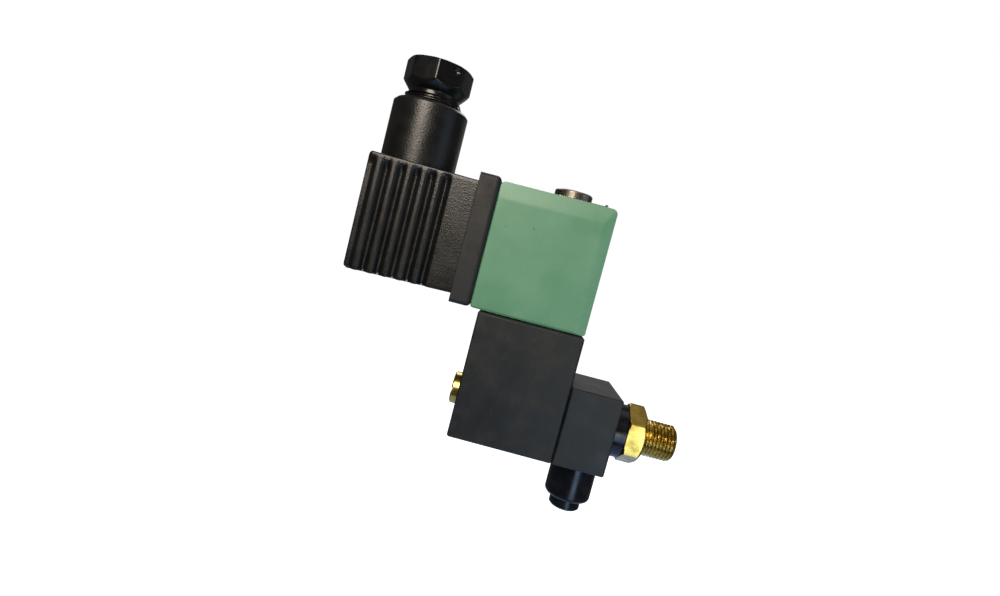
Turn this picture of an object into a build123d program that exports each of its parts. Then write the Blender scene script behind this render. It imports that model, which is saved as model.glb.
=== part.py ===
from build123d import *
import math
import os

# Direct-acting 3/2 solenoid valve on a hollow banjo bolt with a 1/8 in pipe thread.
# Frame: origin on the bolt axis at the shoulder where the pipe thread starts, +X out along the thread,
# +Z up along the core tube. All sizes in mm.

# ---- pipe stub, hexagon and spacer (they stay with the machine the valve is screwed into) ----
thread_dia = 9.728          # 1/8 in pipe thread, major diameter
thread_length = 7.8
thread_chamfer = 0.7
stub_bore = 4.6
hex_flats = 14.0
hex_length = 3.9
hex_cone_length = 1.9       # cone from the hexagon's corners down to the thread
hex_chamfer_length = 0.3    # chamfer of the corners at the spacer end
hex_chamfer_depth = 0.5
hex_tap_dia = 6.0           # tapped hole that takes the bolt's tip
hex_tap_depth = 7.0
spacer_dia = 14.2
spacer_length = 4.0
spacer_chamfer = 0.25

# ---- hollow banjo bolt ----
bolt_dia = 6.4
bolt_head_dia = 8.4
bolt_head_length = 2.1
bolt_head_taper = 3         # degrees
bolt_head_chamfer = 0.35
bolt_tip_gap = 0.6          # tip short of the tapped hole's floor
bolt_bore = 3.0
bolt_cross_hole = 2.0
bolt_slot_width = 1.3
bolt_slot_depth = 1.1

# ---- inlet block ----
block_length = 13.3         # along the bolt
block_above = 10.2          # bolt axis to the block's top
block_below = 9.9
block_chamfer = 0.35
chamber_dia = 9.6           # supply chamber round the bolt
chamber_wall = 3.8          # block wall left at the spacer end
face_recess_dia = 13.4      # shallow recess that hands the supply over to the valve body
face_recess_depth = 1.0
supply_hole = 3.4

# ---- push-in fitting ----
tube_dia = 6.0              # hose the fitting takes
tube_clearance = 0.05       # hose to socket wall, radial
fitting_offset = 0.85       # fitting axis from the middle of the block, towards the thread
sleeve_wall = 1.8           # round the O-ring pocket
sleeve_length = 10.9        # below the block
spigot_wall = 1.65          # part pressed up into the block
sleeve_spigot_length = 3.2
sleeve_edge = 1.2
socket_wall = 4.0           # length of the guiding wall at the socket's end
collet_wall = 1.0           # release collet
collet_proud = 2.9          # collet showing below the sleeve
collet_reach = 4.4          # collet inside the sleeve
collet_stroke = 0.9
collet_slit = 0.6
collet_slits = 6
collet_root = 1.2           # collet left whole inside the sleeve, below its slits
collet_chamfer = 0.4
collet_end_gap = 0.3        # pressed collet to the grip ring
collet_clearance = 0.06
grip_thickness = 0.35
grip_teeth = 8
tooth_depth = 0.6
tooth_slot = 0.35
pocket_slack = 0.5          # play of the O-ring along its pocket
tooth_gap = 0.1             # collet, teeth and backing ring clear of the socket's wall line, radial
oring_section = 1.3

# ---- valve body ----
body_length = 27.2          # along the bolt
body_above = 22.8
body_below = 9.9
body_depth = 23.0           # front to back, inlet block too
body_chamfer = 0.4
core_to_body_end = 11.1     # core axis to the face that meets the block
groove_dia = 9.4            # outlet groove round the bolt
groove_width = 3.0
groove_offset = 4.5         # outlet groove and passage, from the core axis
seal_from_end = 3.6         # bolt O-rings, from the body's far end and from the core axis
seal_from_core = 2.2
face_seal_section = 0.9
face_seal_land = 0.25       # between the supply recess and the seal's groove
face_seal_play = 0.1        # O-ring to the groove's sides
outlet_hole = 1.8
supply_drill_height = 5.6   # supply drilling above the bolt axis
supply_drill = 1.7
supply_riser = 1.5          # from the drilling up to the seat

# ---- plunger chamber, tube and core ----
chamber_floor = 14.6        # floor of the plunger chamber
chamber_bore = 12.4
seat_crown = 0.9            # seat above the chamber floor
seat_crown_dia = 2.6
seat_crown_taper = 12       # degrees
seat_orifice = 1.2
seat_insert_dia = 4.4
seat_insert_depth = 2.4
nut_dia = 18.0              # ring nut that clamps the tube
nut_length = 3.6
nut_below_top = 0.2         # ring nut below the body's top
nut_slots = 4
nut_slot_depth = 1.0
nut_slot_width = 1.6
flare_dia = 14.0
flare_top = 22.2
flare_slope = 0.5           # cone from the flare to the tube
flare_wall = 0.7
tube_flange_dia = 15.4
tube_flange = 1.6
base_seal_dia = 12.8         # O-ring under the tube's flange, inside diameter
base_seal_section = 1.0
core_tube_dia = 10.0
core_tube_bore = 9.0
tube_over_core = 12.0       # tube welded on along the fixed core
core_chamfer = 0.3
plunger_dia = 8.8
plunger_flange_dia = 11.4
plunger_flange = 1.5
plunger_length = 17.4
plunger_stroke = 0.8
seat_rest_gap = 0.05        # disc to seat, so that closed is not an overlap
disc_dia = 5.0
disc_thickness = 1.6
flute_count = 4             # gas flutes along the plunger
flute_depth = 0.6
flute_width = 1.6
spring_wire = 0.5
spring_turns = 3.2
spring_end_gap = 0.05
spring_side_gap = 0.35      # spring to the plunger, radial
shading_ring_dia = 7.2
shading_ring_width = 0.7
shading_ring_height = 1.1
shading_ring_recess = 0.05
exhaust_bore = 1.6
exhaust_port_dia = 4.2      # tapping bore of the exhaust port
exhaust_port_depth = 4.0
head_above_coil = 2.8       # core head above the coil's top face

# ---- coil ----
coil_length = 29.5
coil_height = 32.1
coil_depth = 21.4
core_to_coil_end = 11.0
coil_edge = 1.3
coil_bottom_edge = 0.65
coil_bevel_height = 4.2     # long bevel at the front and back, top and free end
coil_end_bevel = 2.7        # the same bevel, seen from the front, at the free end
coil_bevel_depth = 0.9
bobbin_bore_gap = 0.1       # coil bore to tube, radial
bobbin_tube = 0.8
bobbin_flange = 1.2
bobbin_dia = 17.6
winding_dia = 17.0
coil_end_wall = 2.15        # casing above and below the yoke
yoke_thickness = 1.6
yoke_width = 15.0
yoke_clearance = 0.1
clip_thickness = 0.5
clip_width = 11.0
clip_back = 4.6             # open end of the fork, behind the core axis
clip_reach = 9.2            # closed end, in front of the core axis
clip_tab_width = 4.0
clip_tab_height = 1.4       # lifted tab at the closed end
clip_corner = 1.0
clip_groove_dia = 8.0
clip_groove_gap = 0.08
clip_lift = 0.25            # clip above the coil's top face

# ---- blades ----
blade_width = 6.3
blade_thickness = 0.8
blade_length = 10.5
blade_root = 2.5            # moulded into the coil
blade_spread = 5.3          # power blades from the middle plane
power_blade_height = 3.4    # power blades above the connector's axis
earth_blade_drop = 8.2
blade_chamfer = 0.2

# ---- connector ----
gasket_length = 5.4
gasket_height = 32.9
gasket_depth = 22.8
gasket_edge = 1.2
gasket_corner = 1.0         # corners seen along the bolt, of the carrier too
gasket_rim = 4.2            # width of the gasket's frame round its opening
housing_length = 28.0
housing_height = 29.7
housing_depth = 22.2
housing_draft = 0.6         # how much lower each long edge is at the gasket end
housing_wall = 2.4
housing_edge = 1.1
boss_wall = 1.5             # round the screw head
boss_floor = 2.4
rib_count = 5
rib_pitch = 3.8
rib_first = 3.1             # first rib from the housing's back
rib_groove_depth = 0.75
rib_groove_radius = 0.95
rib_top_land = 1.3          # plain strip above the ribs
gland_tube_dia = 19.8
gland_tube_height = 15.8
gland_tube_chamfer = 0.8
gland_offset = 10.1         # gland axis from the housing's back
gland_thread_dia = 15.2
gland_thread_gap = 0.1      # nut to tube, radial
gland_thread_depth = 7.2
grommet_length = 5.0
grommet_seat_dia = 13.8
grommet_bore = 7.6          # grips the cable when the nut is tightened
washer_bore = 9.2
cable_bore = 8.5
wire_hole_dia = 10.0
nut_corner_dia = 17.8       # octagonal head, across corners
nut_sides = 8
nut_head = 5.1              # straight part of the head
nut_bevel = 2.4             # cone under the head
nut_cone_inset = 1.4
nut_neck_gap = 2.9          # head above the gland tube, as it is left
nut_shank = 7.2             # threaded shank below the head's cone
nut_edge_height = 0.25      # worn chamfer of the head's top corners
nut_edge_width = 0.4
shank_chamfer = 0.5
nut_mouth_chamfer = 0.6
nut_turn = 7.6             # one corner's direction, degrees from the front towards +X
washer_thickness = 0.8
carrier_length = 12.6
carrier_gap = 0.15
screw_dia = 3.0
screw_gap = 0.2
screw_head_dia = 5.4
screw_head = 2.4
screw_recess = 1.6          # head below the housing's back face
screw_reach = 6.0           # into the coil
screw_end_gap = 0.5
screw_head_edge = 0.5
screw_slot_width = 0.9
screw_slot_depth = 1.1
insert_wall = 1.1           # threaded insert round the screw
screw_seal_thickness = 0.8
screw_turn_gap = 0.1        # screw head above its seal
front_wall = 1.2            # carrier wall that the blades pass through
leaf_thickness = 0.6        # sprung leaves of a contact
terminal_length = 4.8
terminal_thickness = 4.6
terminal_width = 6.6
terminal_screw_dia = 2.6
terminal_head_dia = 4.2
terminal_head = 1.5
terminal_floor = 1.0        # terminal block left beyond the screw hole
terminal_slot = 0.7
terminal_end_gap = 0.5      # screw tip short of its hole's floor
blade_end_gap = 0.4         # blade tips to the terminal blocks

# ---- clearances between pieces that move on each other ----
swivel_gap = 0.15           # faces of body, block, spacer and bolt head
running_gap = 0.05          # bolt in its bores, radial
coil_gap = 0.3              # coil above the valve body
seal_gap = 0.04             # O-ring to the bolt, radial
face_gap = 0.4              # carrier nose to the coil
blade_gap = 0.25            # blades in the carrier's mouths
contact_gap = 0.05          # blades between the sprung leaves
pocket_gap = 0.1
cut_past = 1.0              # cutters run past the face that they open
washer_gap = 0.1            # gland washer under the nut's shank
washer_side_gap = 0.2
grommet_gap = 0.15

# ---- places along the bolt, from the thread's shoulder ----
hex_x = -(hex_cone_length + hex_length)
spacer_x = hex_x - spacer_length
block_right = spacer_x - swivel_gap
block_left = block_right - block_length
body_right = block_left - swivel_gap
body_left = body_right - body_length
core_x = body_right - core_to_body_end
head_x = body_left - swivel_gap
fitting_x = (block_left + block_right) / 2 + fitting_offset
groove_x = core_x - groove_offset

# ---- diameters that follow the hose ----
socket_bore = tube_dia + 2 * tube_clearance
collet_dia = socket_bore + 2 * (tooth_gap + collet_wall)
pocket_dia = socket_bore + 2 * oring_section
sleeve_dia = pocket_dia + 2 * sleeve_wall
sleeve_spigot_dia = socket_bore + 2 * spigot_wall

# ---- heights ----
coil_bottom = body_above + coil_gap
coil_top = coil_bottom + coil_height
plug_z = coil_bottom + gasket_height / 2
core_head_top = coil_top + head_above_coil
seat_z = chamber_floor + seat_crown
plunger_bottom = seat_z + seat_rest_gap
plunger_top = plunger_bottom + plunger_length
core_bottom = plunger_top + plunger_stroke + seat_rest_gap

# ---- places of the coil and connector ----
coil_right = core_x + core_to_coil_end
coil_left = coil_right - coil_length
gasket_left = coil_left - gasket_length
housing_left = gasket_left - housing_length
gland_x = housing_left + gland_offset
housing_top = plug_z + housing_height / 2
housing_bottom = plug_z - housing_height / 2
gland_top = housing_top + gland_tube_height
nut_bottom = gland_top + nut_neck_gap
nut_top = nut_bottom + nut_bevel + nut_head
shank_bottom = nut_bottom - nut_shank

leaf_span = blade_thickness + 2 * contact_gap + 2 * leaf_thickness
# middle of each contact in y and z, and whether its blade stands upright
contacts = (
    (-blade_spread, plug_z + power_blade_height, True),
    (blade_spread, plug_z + power_blade_height, True),
    (0, plug_z - earth_blade_drop, False),
)

pieces = []


def keep(part, label):
    """Names a finished piece and puts it on the list to be written."""
    part.label = label
    pieces.append(part)
    return part


def along_x(x):
    """Plane across the bolt axis at x, its normal along +X, with local x along +Y."""
    return Plane((x, 0, 0), x_dir=(0, 1, 0), z_dir=(1, 0, 0))


def level(x, z):
    """Level plane at height z, centred on the vertical axis at x."""
    return Plane((x, 0, z))


def ring(plane, outer, inner, length):
    """Plain ring from the plane along its normal."""
    with BuildPart() as made:
        with BuildSketch(plane):
            Circle(outer / 2)
            Circle(inner / 2, mode=Mode.SUBTRACT)
        extrude(amount=length)
    return made.part


def oring(plane, inner, section):
    """O-ring centred on the plane."""
    with BuildPart() as made:
        with BuildSketch(Plane(plane.origin, x_dir=plane.x_dir, z_dir=plane.y_dir)):
            with Locations((inner / 2 + section / 2, 0)):
                Circle(section / 2)
        revolve(axis=Axis(plane.origin, plane.z_dir))
    return made.part


# ================= root: stub, bolt, spacer =================

hex_corner_dia = hex_flats / math.cos(math.pi / 6)
with BuildPart() as hex_nipple:
    with BuildSketch(along_x(hex_x)):
        RegularPolygon(hex_flats / 2, 6, major_radius=False, rotation=30)
    extrude(amount=hex_length + hex_cone_length)
    # cone from the corners down to the thread, and a small chamfer at the spacer side
    with BuildSketch(Plane.XZ):
        with BuildLine():
            Polyline((hex_x, 0), (hex_x, hex_corner_dia / 2 - hex_chamfer_depth),
                     (hex_x + hex_chamfer_length, hex_corner_dia / 2),
                     (hex_x + hex_length, hex_corner_dia / 2), (0, thread_dia / 2), (0, 0), close=True)
        make_face()
    revolve(axis=Axis.X, mode=Mode.INTERSECT)
    with BuildSketch(along_x(0)):
        Circle(thread_dia / 2)
    extrude(amount=thread_length)
    chamfer(hex_nipple.edges().filter_by(GeomType.CIRCLE).sort_by(Axis.X)[-1], thread_chamfer)
    with BuildSketch(along_x(hex_x)):
        Circle(hex_tap_dia / 2)
    extrude(amount=hex_tap_depth, mode=Mode.SUBTRACT)
    with BuildSketch(along_x(hex_x)):
        Circle(stub_bore / 2)
    extrude(amount=thread_length - hex_x, mode=Mode.SUBTRACT)
keep(hex_nipple.part, "hex_nipple")

with BuildPart() as spacer_ring:
    with BuildSketch(along_x(spacer_x)):
        Circle(spacer_dia / 2)
        Circle(bolt_dia / 2, mode=Mode.SUBTRACT)
    extrude(amount=spacer_length)
    chamfer(spacer_ring.edges().filter_by(GeomType.CIRCLE).group_by(SortBy.RADIUS)[-1], spacer_chamfer)
keep(spacer_ring.part, "spacer_ring")

bolt_tip = hex_x + hex_tap_depth - bolt_tip_gap
with BuildPart() as banjo_bolt:
    with BuildSketch(along_x(head_x - bolt_head_length)):
        Circle(bolt_head_dia / 2)
    extrude(amount=bolt_head_length, taper=-bolt_head_taper)
    chamfer(banjo_bolt.edges().filter_by(GeomType.CIRCLE).sort_by(Axis.X)[0], bolt_head_chamfer)
    with BuildSketch(along_x(head_x)):
        Circle(bolt_dia / 2)
    extrude(amount=hex_x - head_x)
    with BuildSketch(along_x(hex_x)):
        Circle(hex_tap_dia / 2)
    extrude(amount=bolt_tip - hex_x)
    with BuildSketch(along_x(bolt_tip)):
        Circle(bolt_bore / 2)
    extrude(amount=-(bolt_tip - groove_x + bolt_cross_hole), mode=Mode.SUBTRACT)
    with BuildSketch(Plane((groove_x, 0, 0))):
        Circle(bolt_cross_hole / 2)
    extrude(amount=bolt_dia, both=True, mode=Mode.SUBTRACT)
    with BuildSketch(along_x(head_x - bolt_head_length)):
        Rectangle(2 * bolt_head_dia, bolt_slot_width)
    extrude(amount=bolt_slot_depth, mode=Mode.SUBTRACT)
keep(banjo_bolt.part, "banjo_bolt")

# ================= inlet block and its push-in fitting =================

sleeve_bottom = -block_below - sleeve_length
sleeve_top = -block_below + sleeve_spigot_length
chamber_right = block_right - chamber_wall
seal_x = block_right - chamber_wall / 2
oring_outer = bolt_dia + 2 * seal_gap + 2 * oring_section
with BuildPart() as inlet_block:
    with BuildSketch(along_x(block_left)):
        with Locations((0, (block_above - block_below) / 2)):
            Rectangle(body_depth, block_above + block_below)
    extrude(amount=block_length)
    chamfer(inlet_block.edges(), block_chamfer)
    with BuildSketch(along_x(block_left)):
        Circle(bolt_dia / 2 + running_gap)
    extrude(amount=block_length, mode=Mode.SUBTRACT)
    with BuildSketch(along_x(block_left)):
        Circle(chamber_dia / 2)
    extrude(amount=chamber_right - block_left, mode=Mode.SUBTRACT)
    with BuildSketch(along_x(block_left)):
        Circle(face_recess_dia / 2)
    extrude(amount=face_recess_depth, mode=Mode.SUBTRACT)
    with BuildSketch(along_x(seal_x - oring_section / 2)):
        Circle(oring_outer / 2)
    extrude(amount=oring_section, mode=Mode.SUBTRACT)
    with BuildSketch(level(fitting_x, -block_below)):
        Circle(sleeve_spigot_dia / 2)
    extrude(amount=sleeve_spigot_length, mode=Mode.SUBTRACT)
    with BuildSketch(level(fitting_x, -block_below)):
        Circle(supply_hole / 2)
    extrude(amount=block_below, mode=Mode.SUBTRACT)
keep(inlet_block.part, "inlet_block")
keep(oring(along_x(seal_x), bolt_dia + 2 * seal_gap, oring_section), "block_oring")

# bores of the sleeve, from its mouth up: collet, grip ring and O-ring pocket, socket wall, stop
collet_bore = collet_dia + 2 * collet_clearance
collet_bottom = sleeve_bottom - collet_proud
collet_top = sleeve_bottom + collet_reach
grip_z = collet_top + collet_end_gap + collet_stroke
pocket_bottom = grip_z + 2 * grip_thickness
pocket_top = pocket_bottom + oring_section + pocket_slack
socket_top = pocket_top + socket_wall
with BuildPart() as push_in_sleeve:
    with BuildSketch(level(fitting_x, sleeve_bottom)):
        Circle(sleeve_dia / 2)
    extrude(amount=sleeve_length)
    fillet(push_in_sleeve.edges().filter_by(GeomType.CIRCLE).sort_by(Axis.Z)[0], sleeve_edge)
    with BuildSketch(level(fitting_x, -block_below)):
        Circle(sleeve_spigot_dia / 2)
    extrude(amount=sleeve_spigot_length)
    with BuildSketch(level(fitting_x, sleeve_bottom)):
        Circle(collet_bore / 2)
    extrude(amount=grip_z - sleeve_bottom, mode=Mode.SUBTRACT)
    with BuildSketch(level(fitting_x, grip_z)):
        Circle(pocket_dia / 2)
    extrude(amount=pocket_top - grip_z, mode=Mode.SUBTRACT)
    with BuildSketch(level(fitting_x, pocket_top)):
        Circle(socket_bore / 2)
    extrude(amount=socket_wall, mode=Mode.SUBTRACT)
    with BuildSketch(level(fitting_x, socket_top)):
        Circle(supply_hole / 2)
    extrude(amount=sleeve_top - socket_top, mode=Mode.SUBTRACT)
keep(push_in_sleeve.part, "push_in_sleeve")

with BuildPart() as grip_ring:
    with BuildSketch(level(fitting_x, grip_z)):
        Circle(pocket_dia / 2)
        Circle(socket_bore / 2 + tooth_gap, mode=Mode.SUBTRACT)
        with PolarLocations(socket_bore / 2 + tooth_gap, grip_teeth):
            Rectangle(2 * tooth_depth, tooth_slot, mode=Mode.SUBTRACT)
    extrude(amount=grip_thickness)
keep(grip_ring.part, "grip_ring")
keep(ring(level(fitting_x, grip_z + grip_thickness), pocket_dia, socket_bore + 2 * tooth_gap, grip_thickness),
     "backing_ring")
keep(oring(level(fitting_x, pocket_top - oring_section / 2), socket_bore, oring_section), "tube_oring")

with BuildPart() as release_collet:
    with BuildSketch(level(fitting_x, collet_bottom)):
        Circle(collet_dia / 2)
        Circle(socket_bore / 2 + tooth_gap, mode=Mode.SUBTRACT)
    extrude(amount=collet_top - collet_bottom)
    chamfer(release_collet.edges().filter_by(GeomType.CIRCLE).group_by(Axis.Z)[0], collet_chamfer)
    # slits that let the collet's fingers spring
    with BuildSketch(level(fitting_x, collet_top)):
        with PolarLocations(collet_dia / 2, collet_slits):
            Rectangle(collet_dia / 2, collet_slit)
    extrude(amount=collet_root - collet_reach, mode=Mode.SUBTRACT)
keep(release_collet.part, "release_collet")

# ================= valve body =================

nut_top_z = body_above - nut_below_top
nut_bottom_z = nut_top_z - nut_length
flange_z = nut_bottom_z - tube_flange
body_seal_xs = (body_left + seal_from_end, core_x + seal_from_core)
face_groove_inner = face_recess_dia / 2 + face_seal_land
face_groove_outer = face_groove_inner + face_seal_section + 2 * face_seal_play
with BuildPart() as valve_body:
    with BuildSketch(along_x(body_left)):
        with Locations((0, (body_above - body_below) / 2)):
            Rectangle(body_depth, body_above + body_below)
    extrude(amount=body_length)
    chamfer(valve_body.edges(), body_chamfer)
    with BuildSketch(along_x(body_left)):
        Circle(bolt_dia / 2 + running_gap)
    extrude(amount=body_length, mode=Mode.SUBTRACT)
    with BuildSketch(along_x(groove_x - groove_width / 2)):
        Circle(groove_dia / 2)
    extrude(amount=groove_width, mode=Mode.SUBTRACT)
    for seal in body_seal_xs:
        with BuildSketch(along_x(seal - oring_section / 2)):
            Circle(oring_outer / 2)
        extrude(amount=oring_section, mode=Mode.SUBTRACT)
    # plunger chamber, seat for the tube flange and thread of the ring nut
    with BuildSketch(level(core_x, chamber_floor)):
        Circle(chamber_bore / 2)
    extrude(amount=body_above - chamber_floor, mode=Mode.SUBTRACT)
    with BuildSketch(level(core_x, flange_z)):
        Circle(tube_flange_dia / 2)
    extrude(amount=body_above - flange_z, mode=Mode.SUBTRACT)
    with BuildSketch(level(core_x, nut_bottom_z)):
        Circle(nut_dia / 2)
    extrude(amount=body_above - nut_bottom_z, mode=Mode.SUBTRACT)
    with BuildSketch(level(core_x, flange_z)):
        Circle(base_seal_dia / 2 + base_seal_section)
    extrude(amount=-base_seal_section, mode=Mode.SUBTRACT)
    # seat insert pocket and supply drillings
    with BuildSketch(level(core_x, chamber_floor - seat_insert_depth)):
        Circle(seat_insert_dia / 2)
    extrude(amount=seat_insert_depth, mode=Mode.SUBTRACT)
    with BuildSketch(level(core_x, supply_drill_height)):
        Circle(supply_riser / 2)
    extrude(amount=chamber_floor - supply_drill_height, mode=Mode.SUBTRACT)
    with BuildSketch(along_x(body_right)):
        with Locations((0, supply_drill_height)):
            Circle(supply_drill / 2)
    extrude(amount=-(core_to_body_end + supply_drill), mode=Mode.SUBTRACT)
    # outlet passage from the chamber down to the groove round the bolt
    with BuildSketch(level(groove_x, 0)):
        Circle(outlet_hole / 2)
    extrude(amount=chamber_floor, mode=Mode.SUBTRACT)
    # groove of the face seal
    with BuildSketch(along_x(body_right)):
        Circle(face_groove_outer)
        Circle(face_groove_inner, mode=Mode.SUBTRACT)
    extrude(amount=-face_seal_section, mode=Mode.SUBTRACT)
keep(valve_body.part, "valve_body")

with BuildPart() as body_orings:
    for seal in body_seal_xs:
        with BuildSketch(Plane((seal, 0, 0), x_dir=(0, 1, 0), z_dir=(0, 0, 1))):
            with Locations((bolt_dia / 2 + seal_gap + oring_section / 2, 0)):
                Circle(oring_section / 2)
        revolve(axis=Axis.X)
keep(body_orings.part, "body_orings")
keep(oring(along_x(body_right - face_seal_section / 2), 2 * (face_groove_inner + face_seal_play),
           face_seal_section), "face_seal")

with BuildPart() as seat_insert:
    with BuildSketch(level(core_x, chamber_floor - seat_insert_depth)):
        Circle(seat_insert_dia / 2)
    extrude(amount=seat_insert_depth)
    with BuildSketch(level(core_x, chamber_floor)):
        Circle(seat_crown_dia / 2)
    extrude(amount=seat_crown, taper=seat_crown_taper)
    with BuildSketch(level(core_x, chamber_floor - seat_insert_depth)):
        Circle(seat_orifice / 2)
    extrude(amount=seat_insert_depth + seat_crown, mode=Mode.SUBTRACT)
keep(seat_insert.part, "seat_insert")

# ================= core tube, fixed core and plunger =================

tube_top = core_bottom + tube_over_core
spring_step = flare_top - flare_wall
with BuildPart() as core_tube:
    with BuildSketch(Plane((core_x, 0, 0), x_dir=(1, 0, 0), z_dir=(0, -1, 0))):
        with BuildLine():
            Polyline(
                (chamber_bore / 2, flange_z), (tube_flange_dia / 2, flange_z),
                (tube_flange_dia / 2, nut_bottom_z), (flare_dia / 2, nut_bottom_z),
                (flare_dia / 2, flare_top), (core_tube_dia / 2, flare_top + flare_slope),
                (core_tube_dia / 2, tube_top), (core_tube_bore / 2, tube_top),
                (core_tube_bore / 2, flare_top), (chamber_bore / 2, spring_step), close=True)
        make_face()
    revolve(axis=Axis((core_x, 0, 0), (0, 0, 1)))
keep(core_tube.part, "core_tube")

with BuildPart() as ring_nut:
    with BuildSketch(level(core_x, nut_bottom_z)):
        Circle(nut_dia / 2)
        Circle(flare_dia / 2, mode=Mode.SUBTRACT)
        with PolarLocations(nut_dia / 2, nut_slots):
            Rectangle(2 * nut_slot_depth, nut_slot_width, mode=Mode.SUBTRACT)
    extrude(amount=nut_length)
keep(ring_nut.part, "ring_nut")
keep(oring(level(core_x, flange_z - base_seal_section / 2), base_seal_dia, base_seal_section),
     "tube_base_oring")

clip_z = coil_top + clip_lift
with BuildPart() as fixed_core:
    with BuildSketch(level(core_x, core_bottom)):
        Circle(core_tube_bore / 2)
    extrude(amount=tube_top - core_bottom)
    with BuildSketch(level(core_x, tube_top)):
        Circle(core_tube_dia / 2)
    extrude(amount=core_head_top - tube_top)
    chamfer(fixed_core.edges().filter_by(GeomType.CIRCLE).sort_by(Axis.Z)[-1], core_chamfer)
    # groove for the clip
    with BuildSketch(level(core_x, clip_z - clip_groove_gap)):
        Circle(core_tube_dia / 2)
        Circle(clip_groove_dia / 2, mode=Mode.SUBTRACT)
    extrude(amount=clip_thickness + 2 * clip_groove_gap, mode=Mode.SUBTRACT)
    # exhaust way
    with BuildSketch(level(core_x, core_bottom)):
        Circle(exhaust_bore / 2)
    extrude(amount=core_head_top - core_bottom, mode=Mode.SUBTRACT)
    with BuildSketch(level(core_x, core_head_top - exhaust_port_depth)):
        Circle(exhaust_port_dia / 2)
    extrude(amount=exhaust_port_depth, mode=Mode.SUBTRACT)
    # groove for the shading ring
    with BuildSketch(level(core_x, core_bottom)):
        Circle(shading_ring_dia / 2)
        Circle(shading_ring_dia / 2 - shading_ring_width, mode=Mode.SUBTRACT)
    extrude(amount=shading_ring_height, mode=Mode.SUBTRACT)
keep(fixed_core.part, "fixed_core")
keep(ring(level(core_x, core_bottom + shading_ring_recess), shading_ring_dia,
          shading_ring_dia - 2 * shading_ring_width, shading_ring_height - shading_ring_recess),
     "shading_ring")

with BuildPart() as moving_core:
    with BuildSketch(level(core_x, plunger_bottom)):
        Circle(plunger_flange_dia / 2)
    extrude(amount=plunger_flange)
    with BuildSketch(level(core_x, plunger_bottom)):
        Circle(plunger_dia / 2)
    extrude(amount=plunger_length)
    chamfer(moving_core.edges().filter_by(GeomType.CIRCLE).sort_by(Axis.Z)[-1], core_chamfer)
    # gas flutes along the shank
    with BuildSketch(level(core_x, plunger_bottom + plunger_flange)):
        with PolarLocations(plunger_dia / 2, flute_count, start_angle=45):
            Rectangle(2 * flute_depth, flute_width)
    extrude(amount=plunger_length, mode=Mode.SUBTRACT)
    # pockets for the seat disc below and the exhaust disc above
    for z, direction in ((plunger_bottom, 1), (plunger_top, -1)):
        with BuildSketch(level(core_x, z)):
            Circle(disc_dia / 2)
        extrude(amount=direction * disc_thickness, mode=Mode.SUBTRACT)
keep(moving_core.part, "moving_core")
for label, z in (("seat_disc", plunger_bottom), ("exhaust_disc", plunger_top - disc_thickness)):
    with BuildPart() as disc:
        with BuildSketch(level(core_x, z)):
            Circle(disc_dia / 2)
        extrude(amount=disc_thickness)
    keep(disc.part, label)

spring_bottom = plunger_bottom + plunger_flange + spring_wire / 2 + spring_end_gap
spring_height = spring_step - spring_wire / 2 - 2 * spring_end_gap - spring_bottom
spring_radius = plunger_dia / 2 + spring_side_gap + spring_wire / 2
with BuildPart() as core_spring:
    with BuildLine(level(core_x, spring_bottom)):
        coil_line = Helix(pitch=spring_height / spring_turns, height=spring_height, radius=spring_radius)
    with BuildSketch(Plane(coil_line @ 0, z_dir=coil_line % 0)):
        Circle(spring_wire / 2)
    sweep(is_frenet=True)
keep(core_spring.part, "core_spring")

# ================= coil =================

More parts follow.
